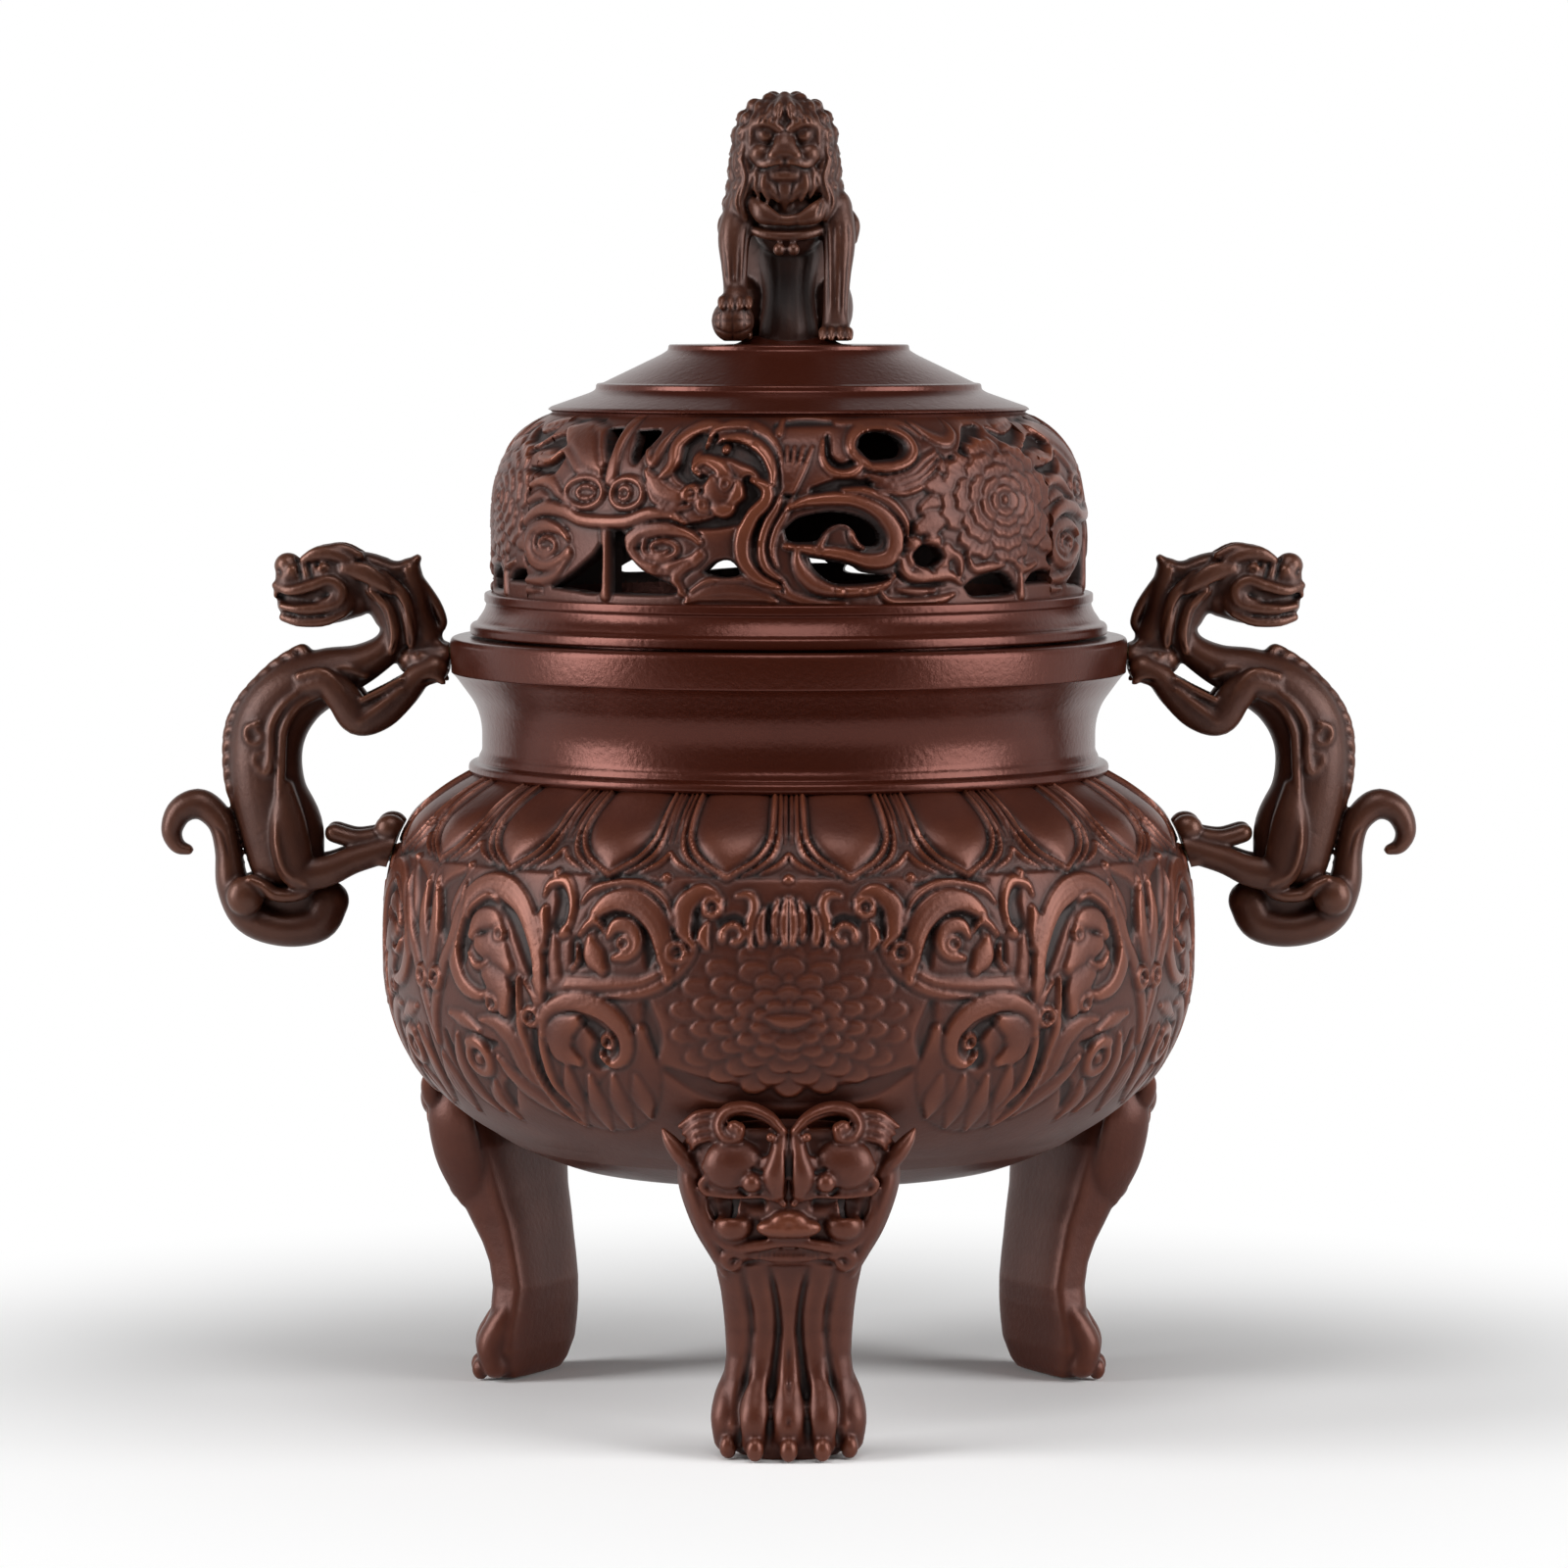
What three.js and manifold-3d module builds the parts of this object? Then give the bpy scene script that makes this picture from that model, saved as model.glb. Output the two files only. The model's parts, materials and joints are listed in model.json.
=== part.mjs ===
// Tripod censer in cast copper alloy, in the archaic ding form. Millimetres, +Z up, front towards -Y.
// The origin is on the ground, on the axis of the bowl. A round bowl stands on three beast-mask legs
// and carries two climbing dragons as handles. The lid has a pierced band that lets the smoke out and
// a seated lion as its knob. Legs, handles and lion are separate castings, each held by screws.

import * as THREE from 'three';
import { mergeVertices } from 'three/addons/utils/BufferGeometryUtils.js';
import Module from 'manifold-3d';

const wasm = await Module();
wasm.setup();

// Clearances
const seatGap = 0.3;
const screwGap = 0.3;
const lidPlay = 0.6;

// Bowl
const baseHeight = 54.5;
const bellyRadius = 100.2;
const bellyDepth = 60;
const bellyRise = 52.7;
const lowerFullness = 2.5;
const upperFullness = 3;
const bowlWall = 4.5;
const collarStep = 1.4;
const neckRadius = 75.4;
const neckHeight = 12.8;
const flareHeight = 10;
const rimRadius = 83.3;
const rimHeight = 9;
const rimEdge = 0.9;
const neckWall = 4;
const bellyReliefDepth = 1.6;
const lappetCount = 21;

// Lid
const lidWall = 3.5;
const skirtDepth = 5;
const lidFootRadius = 78.2;
const lidFootHeight = 10;
const bandRadius = 73.8;
const bandHeight = 44.2;
const bandRise = 49;
const bandFullness = 4.5;
const shoulderRadius = 58.8;
const shoulderHeight = 5.4;
const ringRadius = 47.2;
const ringHeight = 1.8;
const coneHeight = 8.2;
const topRadius = 29.4;
const topEdge = 1.4;
const crownRadius = 9;
const crownHeight = 2.2;
const bandReliefDepth = 1.3;
const ventDepth = 60;
const ventAround = bandRadius / 73.8;
const ventUp = bandHeight / 44.2;

// Legs
const legTopDrop = 32.5;
const legSpread = 8.4;
const legSway = 14;
const legTopWidth = 43;
const ankleWidth = 30;
const footWidth = 33;
const ankleDepth = 12.2;
const ankleHeight = 27;
const fluteDepth = 0.9;
const fluteCount = 5;
const toeReach = 4.5;
const toeCleft = 3.2;
const maskWidth = 50;
const maskDepth = 6.5;

// Dragon handles
const handleReach = 53.8;
const pawHeight = 136.5;
const dragonThickness = 15.5;
const legPairSpacing = 13;
const crestHeight = 1.8;
const crestTeeth = 10;
const crestThickness = 3;
const padCover = 2.5;
const padRoot = 6;
const pawPadHeight = 8;
const crestRoot = 4;

// Lion knob
const lionHeight = 61.8;
const ballRadius = 4.9;

// Screws
const screwRadius = 1.6;
const screwHeadRadius = 3.6;
const screwHeadHeight = 2.4;
const legScrewGrip = 8;
const rimScrewGrip = 5;
const pawScrewGrip = 6;
const lionScrewGrip = 12;
const washerRadius = 8;
const washerThickness = 1.2;

const turnSegments = 42;
const reliefInset = 0.05;
const cutPast = 1;
const legAngles = { front: 0, back_left: -120, back_right: 120 };

const mouthRadius = neckRadius - neckWall;
const widestHeight = baseHeight + bellyDepth;
const collarHeight = upperBellyHeight(neckRadius + collarStep);
const flareBottom = collarHeight + neckHeight;
const rimBottom = flareBottom + flareHeight;
const rimTop = rimBottom + rimHeight;
const lidSeat = rimTop + seatGap;
const bandBottom = lidSeat + lidFootHeight;
const bandTop = bandBottom + bandHeight;
const ringBottom = bandTop + shoulderHeight;
const coneBottom = ringBottom + ringHeight;
const coneTop = coneBottom + coneHeight;
const lidTop = coneTop + topEdge;
const crownTop = lidTop + crownHeight;

const radians = THREE.MathUtils.degToRad;
const lerp = THREE.MathUtils.lerp;

// Height of the shoulder curve over a radius: the upper quarter of a superellipse
function upperBellyHeight(radius, shell = 0) {
  const share = (radius / (bellyRadius - shell)) ** upperFullness;
  return widestHeight + (bellyRise - shell) * (1 - share) ** (1 / upperFullness);
}

// Radius of the belly at a height: a full superellipse below its widest point, another above it
function bellyRadiusAt(height, shell = 0) {
  const below = height < widestHeight;
  const reach = below ? bellyDepth : bellyRise;
  const fullness = below ? lowerFullness : upperFullness;
  const share = Math.min(1, Math.abs(height - widestHeight) / (reach - shell));
  return (bellyRadius - shell) * (1 - share ** fullness) ** (1 / fullness);
}

// Radius of the pierced band at a height: nearly upright below, rounding in to the shoulder
function bandRadiusAt(height, shell = 0) {
  const share = Math.min(1, Math.max(0, height - bandBottom) / (bandRise - shell));
  return (bandRadius - shell) * (1 - share ** bandFullness) ** (1 / bandFullness);
}

// A closed three.js geometry as a solid that can be joined and cut
function solid(geometry) {
  const bare = new THREE.BufferGeometry();
  bare.setAttribute('position', geometry.getAttribute('position').clone());
  if (geometry.index) {
    bare.setIndex(geometry.index.clone());
  }
  const merged = mergeVertices(bare, 1e-4);
  const corners = [];
  for (let i = 0; i < merged.index.count; i += 3) {
    const [a, b, c] = [0, 1, 2].map((k) => merged.index.getX(i + k));
    if (a !== b && b !== c && a !== c) {
      corners.push(a, b, c);
    }
  }
  return new wasm.Manifold(new wasm.Mesh({
    numProp: 3,
    vertProperties: new Float32Array(merged.getAttribute('position').array),
    triVerts: new Uint32Array(corners),
  }));
}

// A finished solid as a mesh of the scene
function mesh(name, shape, material) {
  const data = shape.getMesh();
  const geometry = new THREE.BufferGeometry();
  geometry.setAttribute('position', new THREE.BufferAttribute(data.vertProperties, 3));
  geometry.setIndex(new THREE.BufferAttribute(data.triVerts, 1));
  geometry.computeVertexNormals();
  const made = new THREE.Mesh(geometry, material);
  made.name = name;
  return made;
}

function joined(shapes) {
  return shapes.reduce((whole, shape) => whole.add(shape));
}

// A profile of [radius, height] points turned about +Z
function turned(profile, segments = turnSegments) {
  const points = profile.map(([radius, height]) => new THREE.Vector2(radius, height));
  return solid(new THREE.LatheGeometry(points, segments).rotateX(Math.PI / 2));
}

// A profile moved outwards along its own normals, for the clearance that a neighbour is cut by
function grown(profile, gap) {
  return profile.map(([radius, height], i) => {
    const before = profile[Math.max(0, i - 1)];
    const after = profile[Math.min(profile.length - 1, i + 1)];
    const along = new THREE.Vector2(after[0] - before[0], after[1] - before[1]).normalize();
    return [radius < 1e-6 ? 0 : radius + gap * along.y, height - gap * along.x];
  });
}

// An ellipsoid with its half-sizes, at a place, leaning about the sideways axis
function egg(place, halves, lean = 0, around = 6, rows = 4) {
  const shape = new THREE.SphereGeometry(1, around, rows);
  shape.rotateX(Math.PI / 2);
  shape.scale(...halves);
  shape.rotateY(radians(lean));
  shape.translate(...place);
  return solid(shape);
}

// A limb: elliptic sections carried along a smooth curve. Each stop is [x, y, z, half-size in the
// plane of the curve, half-size across it]; side is the direction across it. The ends are domed.
function limb(stops, side = new THREE.Vector3(0, 1, 0), sides = 6, steps = 1) {
  const curve = new THREE.CatmullRomCurve3(stops.map(([x, y, z]) => new THREE.Vector3(x, y, z)));
  const sizes = new THREE.CatmullRomCurve3(stops.map(([, , , a, b]) => new THREE.Vector3(a, b ?? a, 0)));
  const count = (stops.length - 1) * steps;
  const rings = [];
  const ring = (t, shrink, push) => {
    const tangent = curve.getTangent(t);
    const across = side.clone().addScaledVector(tangent, -side.dot(tangent)).normalize();
    const normal = new THREE.Vector3().crossVectors(across, tangent);
    const size = sizes.getPoint(t);
    const centre = curve.getPoint(t).addScaledVector(tangent, push * Math.min(size.x, size.y));
    const points = [];
    for (let k = 0; k < sides; k += 1) {
      const angle = (2 * Math.PI * k) / sides;
      const point = centre.clone();
      point.addScaledVector(normal, Math.cos(angle) * size.x * shrink);
      point.addScaledVector(across, Math.sin(angle) * size.y * shrink);
      points.push(point);
    }
    rings.push(points);
  };
  ring(0, 0.55, -0.75);
  for (let i = 0; i <= count; i += 1) {
    ring(i / count, 1, 0);
  }
  ring(1, 0.55, 0.75);
  return loft(rings);
}

// A closed solid over a stack of rings with equal numbers of points, flat at both ends
function loft(rings) {
  const sides = rings[0].length;
  const corners = [];
  const centreOf = (ring) => {
    const sum = new THREE.Vector3();
    ring.forEach((point) => sum.add(point));
    return sum.divideScalar(sides);
  };
  for (let i = 0; i + 1 < rings.length; i += 1) {
    for (let k = 0; k < sides; k += 1) {
      const next = (k + 1) % sides;
      corners.push(rings[i][k], rings[i][next], rings[i + 1][next]);
      corners.push(rings[i][k], rings[i + 1][next], rings[i + 1][k]);
    }
  }
  const first = centreOf(rings[0]);
  const last = centreOf(rings[rings.length - 1]);
  for (let k = 0; k < sides; k += 1) {
    const next = (k + 1) % sides;
    corners.push(first, rings[0][next], rings[0][k]);
    corners.push(last, rings[rings.length - 1][k], rings[rings.length - 1][next]);
  }
  return solid(new THREE.BufferGeometry().setFromPoints(corners));
}

// A pan-head screw along +Z: its head lies below the plane z = 0 and its shank rises above it.
// The same shape, grown, is what the castings are cut by.
function screwShape(length, grow = 0, head = screwHeadHeight) {
  const headRadius = screwHeadRadius + grow;
  const shank = screwRadius + grow;
  const points = [
    [0, -head - grow], [headRadius * 0.8, -head - grow], [headRadius, -head * 0.5 - grow],
    [headRadius, grow], [shank, grow], [shank, length + grow], [0, length + grow],
  ];
  const profile = points.map(([radius, height]) => new THREE.Vector2(radius, height));
  return solid(new THREE.LatheGeometry(profile, 8).rotateX(Math.PI / 2));
}

// Where a screw sits: its head's seat is at place, and its shank points along direction
function placement(place, direction) {
  const up = new THREE.Vector3(0, 0, 1);
  const turn = new THREE.Quaternion().setFromUnitVectors(up, direction.clone().normalize());
  return new THREE.Matrix4().compose(place, turn, new THREE.Vector3(1, 1, 1));
}

function placed(shape, matrix) {
  return shape.transform(matrix.elements);
}

function turnedAbout(degrees, matrix) {
  return new THREE.Matrix4().makeRotationZ(radians(degrees)).multiply(matrix);
}

// Cast relief: boss and ring forms that stand proud of a sunk ground. A form is [distance round from
// the middle of a panel, height, half-width, half-height, width of the ring as a share of these, or
// 0 for a boss]. There are three panels, each centred above a leg. The answer is 1 on a form's top.
function formLift(forms, around, up) {
  const lifts = forms.map(([x, y, wide, tall, ring]) => {
    const far = Math.hypot((around - x) / wide, (up - y) / tall);
    return ring > 0 ? 1.5 - (1.5 * Math.abs(far - 1 + ring / 2)) / ring : (1 - far) * 3.5;
  });
  return Math.min(1, Math.max(0, ...lifts));
}

// The side between two heights as a closed solid: the turned profile, sunk where no form stands. It
// keeps just inside the flats of the turned solids above and below it.
function reliefSkin(heights, columns, radiusAt, depth, liftAt) {
  const panel = (2 * Math.PI) / 3;
  const flat = Math.PI / turnSegments;
  return loft(heights.map((height) => {
    const ring = [];
    for (let k = 0; k < columns; k += 1) {
      const angle = (2 * Math.PI * k) / columns;
      const turn = angle - panel * Math.round(angle / panel);
      const off = angle % (2 * flat) - flat;
      const plain = (radiusAt(height) * Math.cos(flat)) / Math.cos(off);
      const radius = plain - reliefInset - depth * (1 - liftAt(turn, height, angle));
      ring.push(new THREE.Vector3(radius * Math.sin(angle), -radius * Math.cos(angle), height));
    }
    return ring;
  }));
}

// Belly relief, mirrored about the middle of each panel: lotus flowers, leaves and scrolling stems.
// Heights are from the widest ring, as drawn for a belly of radius 100.2 and a rise of 52.7.
const bellyAround = bellyRadius / 100.2;
const bellyUp = bellyRise / 52.7;
const bellyForms = [
  [0, -8, 25, 13, 0], [0, 14, 15, 6, 0], [40, 9.5, 10, 9.5, 0.5], [78, 5, 12.5, 13.5, 0.5],
  [76, 1, 5, 8, 0], [51, -13, 11, 9, 0.5], [50, -30, 15, 8, 0], [84, -24, 8, 6, 0.7],
  [101, 6, 6, 17, 0], [62, 6, 4, 13, 0], [69, -18, 4, 14, 0], [24, 14, 5, 7, 0], [30, -1, 15, 4, 0],
];
const bellyHeights = [
  -32.5, -27.5, -22, -16.5, -11, -5.5, 0, 5.5, 11, 16.5, 21, 25, 29, 33, 37, 40.5,
].map((up) => widestHeight + up * bellyUp);
const bellyColumns = 3 * turnSegments;
const lappetFoot = 24;
const lappetMiddle = 32.5;
const lappetHalf = [0.37, 7.5];
const pawSeat = [13, 6];

// Lappets round the shoulder: a domed heart each, with the gap between two above each leg
function lappetLift(angle, up) {
  const pitch = (2 * Math.PI) / lappetCount;
  const off = Math.abs(angle / pitch - Math.floor(angle / pitch) - 0.5);
  const dome = 1 - Math.hypot(off / lappetHalf[0], (up - lappetMiddle) / lappetHalf[1]);
  return Math.min(1, Math.max(0, dome * 3));
}

// How high the belly stands at a place, 0 to 1. The ground is left full where a handle's paws sit.
function bellyLift(turn, height, angle) {
  const up = (height - widestHeight) / bellyUp;
  const fromPaws = Math.acos(Math.abs(Math.sin(angle))) * bellyRadius;
  if (fromPaws < pawSeat[0] && Math.abs(height - pawHeight) < pawSeat[1]) {
    return 1;
  }
  const around = (Math.abs(turn) * bellyRadius) / bellyAround;
  return up > lappetFoot ? lappetLift(angle, up) : formLift(bellyForms, around, up);
}

// Bowl: one casting, with its foot-free round belly, a collar step, a plain neck and a flared rim
const lowerSteps = 8;
const insideSteps = 4;
const flatRadius = 30;

function bowlOutside() {
  const points = [[0, baseHeight]];
  for (let i = 0; i <= lowerSteps; i += 1) {
    const angle = (Math.PI / 2) * (i / lowerSteps);
    const radius = bellyRadius * Math.sin(angle) ** (2 / lowerFullness);
    const height = widestHeight - bellyDepth * Math.cos(angle) ** (2 / lowerFullness);
    if (radius > flatRadius && height < bellyHeights[0]) {
      points.push([radius, height]);
    }
  }
  for (const height of bellyHeights) {
    points.push([bellyRadiusAt(height), height]);
  }
  const shoulder = neckRadius + collarStep;
  points.push([shoulder, collarHeight]);
  points.push([shoulder, collarHeight + collarStep * 0.7]);
  points.push([neckRadius, collarHeight + collarStep]);
  points.push([neckRadius, flareBottom]);
  points.push([rimRadius - 2 * rimEdge, rimBottom]);
  points.push([rimRadius - rimEdge, rimBottom + rimEdge]);
  points.push([rimRadius, rimTop]);
  return points;
}

function bowlInside() {
  const points = [[mouthRadius, rimTop]];
  const innerCollar = upperBellyHeight(mouthRadius, bowlWall);
  points.push([mouthRadius, innerCollar + bowlWall / 2]);
  for (let i = insideSteps - 1; i >= 0; i -= 1) {
    const radius = lerp(bellyRadius - bowlWall, mouthRadius, (i / insideSteps) ** 2);
    points.push([radius, upperBellyHeight(radius, bowlWall)]);
  }
  for (let i = insideSteps; i > 0; i -= 1) {
    const angle = (Math.PI / 2) * (i / (insideSteps + 1));
    const radius = (bellyRadius - bowlWall) * Math.sin(angle) ** (2 / lowerFullness);
    const depth = (bellyDepth - bowlWall) * Math.cos(angle) ** (2 / lowerFullness);
    points.push([radius, widestHeight - depth]);
  }
  points.push([0, baseHeight + bowlWall]);
  return points;
}

// The solid inside a turned profile, with its side between the first and the last of these heights
// changed for the relief
function withRelief(profile, heights, skin) {
  const low = heights[0];
  const high = heights[heights.length - 1];
  const below = profile.filter(([, height]) => height <= low);
  const above = profile.filter(([, height]) => height >= high);
  return turned([...below, [0, low]]).add(skin).add(turned([[0, high], ...above]));
}

// Lid: skirt in the mouth, scotia foot on the rim, pierced band, stepped shoulder and crowned top
const insideBandSteps = 2;

// Band relief between the openings: a bulb with curling leaves, a mask's eye rings, a ribbon, a
// budding flower, a ring with a leaf, a beaded eye and a peony. Heights are from the band's foot.
const bandForms = [
  [-60, 37, 12, 5, 0], [-55, 26, 7, 4.5, 0.6], [-41.4, 26.2, 6, 4.5, 0.6], [-67.6, 13.4, 10, 6, 0.5],
  [-30.6, 13.4, 10.6, 6, 0.5], [-55, 20, 30, 2.4, 0], [-17, 26.5, 7, 7, 0], [10, 18, 19, 10, 0.4],
  [24.6, 37.3, 10.5, 6.6, 0.5], [58, 24.6, 19, 12, 0], [-14, 3, 11, 3.6, 0],
];
const bandColumns = 2 * turnSegments;
const bandHeights = [0, 4, 8.5, 13, 17.5, 22, 26.5, 31, 35, 39, 44.2].map((up) => bandBottom + up * ventUp);

// The band's lower and upper edges stay full, as a frame round each panel's forms
function bandLift(turn, height) {
  if (height === bandBottom || height > bandTop - 1) {
    return 1;
  }
  return formLift(bandForms, (turn * bandRadius) / ventAround, (height - bandBottom) / ventUp);
}

const ceiling = coneTop - lidWall;
const skirtBore = mouthRadius - lidPlay - lidWall;

function lidInside() {
  const foot = bandRadius - lidWall;
  const points = [[0, ceiling], [topRadius, ceiling]];
  points.push([ringRadius - lidWall / 2, ringBottom - lidWall]);
  for (let i = insideBandSteps; i >= 0; i -= 1) {
    const height = bandBottom + (bandHeight - lidWall) * bandShare(i / insideBandSteps);
    points.push([bandRadiusAt(height, lidWall), height]);
  }
  points.push([foot, bandBottom - lidWall]);
  points.push([skirtBore, lidSeat + lidWall / 2]);
  points.push([skirtBore, lidSeat - skirtDepth]);
  return points;
}

// Steps up the band, closer together where it rounds in at the top
function bandShare(part) {
  return Math.sin((Math.PI / 2) * part);
}

function lidOutside() {
  const skirt = mouthRadius - lidPlay;
  const waist = bandRadius + 0.6;
  const points = [[skirt, lidSeat - skirtDepth], [skirt, lidSeat], [lidFootRadius, lidSeat]];
  points.push([lidFootRadius, lidSeat + 1.3]);
  points.push([lerp(waist, lidFootRadius, 0.45), lidSeat + 2.8]);
  points.push([waist, bandBottom - 3]);
  points.push([waist + 0.8, bandBottom - 1.4]);
  for (const height of bandHeights) {
    points.push([bandRadiusAt(height), height]);
  }
  points.push([shoulderRadius, bandTop + 0.4]);
  points.push([lerp(shoulderRadius, ringRadius, 0.5), bandTop + 0.62 * shoulderHeight]);
  points.push([ringRadius + 0.8, ringBottom]);
  points.push([ringRadius, ringBottom + 0.4]);
  points.push([ringRadius - 0.6, coneBottom]);
  points.push([topRadius, coneTop]);
  points.push([topRadius - topEdge, lidTop]);
  points.push([crownRadius, lidTop]);
  points.push([crownRadius * 0.6, lidTop + crownHeight * 0.7]);
  points.push([0, crownTop]);
  return points;
}

// Openings of the pierced band over one third of the way round, then repeated: the gaps between
// leaves, stems and flowers. Each outline lists [distance round the band from the panel's middle,
// height above the band's foot], as drawn for a band of radius 73.8 and height 44.2.
const ventOutlines = [
  [[-66, 3.5], [-49.6, 2.8], [-48.8, 8], [-48.6, 13.6], [-54, 9.4], [-62, 5.2]],
  [[-45.2, 2.7], [-29, 2.8], [-27.6, 4], [-35, 7.2], [-41.2, 13], [-42.2, 16.6], [-45, 16.8]],
  [[-54.4, 40.8], [-51.6, 37.4], [-48.9, 34.6], [-49.5, 41]],
  [[-44, 40.6], [-42.6, 38], [-42, 34.6], [-40.3, 33.3], [-38.5, 36.5], [-36.5, 40.6]],
  [[-20.5, 8], [-16, 6.8], [-11.9, 7.6], [-14, 10.6], [-17.6, 10.3]],
  [
    [-1, 18], [0, 15.4], [4.6, 15.1], [7.2, 15.6], [8.6, 17.2], [10.6, 18.8], [13.4, 19.2], [15.6, 17.6],
    [17.2, 14.8], [19.4, 14], [21.4, 14.3], [22.4, 16], [21, 18.6], [18, 20.6], [10, 22.1], [2, 20.5],
  ],
  [[5, 11.4], [6.2, 8.8], [9, 6.4], [12, 5.3], [18, 5.3], [23.8, 6], [24.3, 7], [15.4, 9.5]],
  [[18.2, 37], [21, 34.2], [25.8, 34.2], [29.4, 34.8], [31, 37], [29.6, 39], [24.6, 40.5], [19.6, 39.4]],
  [[30.6, 11.5], [32, 9.6], [34.5, 8.9], [37, 9.6], [38.5, 11.5], [37, 13.4], [34.5, 14.1], [32, 13.4]],
  [[45.4, 4], [48, 1.9], [57, 1.8], [62, 2.6], [60, 5.7], [57, 7.1], [53, 6.9], [48, 5.6]],
  [[66.3, 4.4], [77.2, 4.5], [77.2, 5.4], [76.6, 6.7], [73, 7.1], [69, 6.4]],
];
// One opening as a prism that points at the axis from the middle of its outline
function vent(outline, panel) {
  const middle = outline.reduce((sum, [around]) => sum + around, 0) / outline.length;
  const shape = new THREE.Shape(outline.map(([around, up]) => {
    const turn = ((around - middle) * ventAround) / bandRadius;
    return new THREE.Vector2(bandRadius * Math.sin(turn), bandBottom + up * ventUp);
  }));
  const prism = new THREE.ExtrudeGeometry(shape, { depth: ventDepth, bevelEnabled: false });
  prism.rotateX(Math.PI / 2);
  prism.translate(0, -bandRadius / 2, 0);
  prism.rotateZ((middle * ventAround) / bandRadius + radians(panel));
  return solid(prism);
}

// Leg: a curved slab with a flat back and a fluted front, a beast's mask at its top and five toes.
// It is drawn on the front of the bowl. Each row is a section: its height as a share of the leg's,
// how far its back sways in from the top, its depth as a share of the ankle's, how far the mask
// stands out there and how far the toes do. The flutes deepen into the clefts between the toes.
const legTop = widestHeight - legTopDrop;
const legAxis = bellyRadiusAt(legTop) - legSpread;
const legRows = [
  [0, 0.7, 0.72, 0, 0.4], [0.03, 0.81, 1.02, 0, 0.9], [0.08, 0.86, 1.05, 0, 1],
  [0.13, 0.9, 1.06, 0, 0.55], [0.2, 0.95, 1, 0, 0.1], [0.33, 1, 1, 0, 0], [0.44, 0.91, 1.02, 0.15, 0],
  [0.56, 0.76, 1.05, 0.75, 0], [0.7, 0.6, 1.1, 1, 0], [0.86, 0.36, 1.12, 1, 0], [0.95, 0.12, 1, 0.7, 0],
  [1, 0, 0.7, 0.5, 0],
];

function legWidth(height) {
  const low = lerp(footWidth, ankleWidth, Math.min(1, height / ankleHeight));
  const rise = Math.max(0, (height - ankleHeight) / (legTop - ankleHeight));
  return lerp(low, legTopWidth, rise ** 1.4);
}

// How far the front of the leg stands from the bowl's axis at a height
function legFront(height) {
  const share = height / legTop;
  const above = Math.max(1, legRows.findIndex((row) => row[0] >= share));
  const [low, high] = [legRows[above - 1], legRows[above]];
  const part = (share - low[0]) / (high[0] - low[0]);
  const [sway, depth, mask, toe] = [1, 2, 3, 4].map((k) => lerp(low[k], high[k], part));
  return legAxis - legSway * sway + ankleDepth * depth + maskDepth * mask + toeReach * toe;
}

function legSection([share, sway, , , toe]) {
  const height = legTop * share;
  const half = legWidth(height) / 2;
  const back = legAxis - legSway * sway;
  const depth = legFront(height) - back;
  const points = [new THREE.Vector3(-half, -back, height), new THREE.Vector3(half, -back, height)];
  const count = 2 * fluteCount;
  for (let k = 0; k <= count; k += 1) {
    const across = 1 - (2 * k) / count;
    const arch = (1 - Math.abs(across) ** 3) ** 0.5;
    const groove = k % 2 ? 0 : lerp(fluteDepth, toeCleft, toe);
    const out = back + depth * (0.4 + 0.6 * arch) - groove * arch;
    points.push(new THREE.Vector3(half * across, -out, height));
  }
  return points.reverse();
}

function legCasting(clearance, screw) {
  const parts = [loft(legRows.map(legSection))];
  const upright = new THREE.Vector3(0, 1, 0);
  const half = maskWidth / 2;
  const base = legTop * 0.8;
  for (const sign of [-1, 1]) {
    const s = sign * half;
    const brow = -legFront(legTop - 6);
    parts.push(limb([
      [s * 0.2, brow + 0.6, legTop - 3.5, 3, 2.4], [s * 0.46, brow + 1.2, legTop - 2, 3.2, 2.6],
      [s * 0.72, brow + 4, legTop - 6, 2.6, 2.4], [s * 0.56, brow + 1.8, legTop - 9.5, 2],
    ], upright, 5, 1));
    parts.push(limb([
      [s * 0.66, 5 - legFront(base), base - 3, 4.4, 3.4], [s * 0.97, 7 - legFront(base), base + 6, 1.4],
    ], upright, 5, 1));
    parts.push(egg([s * 0.36, 0.4 - legFront(base - 3), base - 3], [3.6, 2.4, 2.8]));
    parts.push(egg([s * 0.42, 3 - legFront(base - 12), base - 12], [5.6, 3.8, 5]));
  }
  parts.push(egg([0, 0.6 - legFront(base - 8), base - 8], [5.2, 3.2, 4.2]));
  const ground = slab([-bellyRadius, bellyRadius], [-2 * bellyRadius, 0], [-legTop, 0]);
  return joined(parts).subtract(clearance).subtract(ground).subtract(screw);
}

// A box between its limits along the three axes
function slab([x0, x1], [y0, y1], [z0, z1]) {
  const shape = new THREE.BoxGeometry(x1 - x0, y1 - y0, z1 - z0);
  shape.translate((x0 + x1) / 2, (y0 + y1) / 2, (z0 + z1) / 2);
  return solid(shape);
}

// Dragon handle, drawn on the left of the bowl. A place on it is given by its distance out from the
// rim and its height above the rim's top, as drawn for a reach of 53.8 and a drop to the paws of 53.
const dragonWide = handleReach / 53.8;
const dragonTall = (rimTop - pawHeight) / 53;

function dragonPoint(out, up) {
  return [-(rimRadius + out * dragonWide), rimTop + up * dragonTall];
}

// A limb of the dragon from stops of [out, up, half-size, half-size across], at a distance sideways
function dragonLimb(stops, aside = 0, sides = 6, steps = 1) {
  return limb(stops.map(([out, up, a, b]) => {
    const [x, z] = dragonPoint(out, up);
    return [x, aside, z, a * dragonTall, b ?? a * dragonTall];
  }), new THREE.Vector3(0, 1, 0), sides, steps);
}

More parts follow.
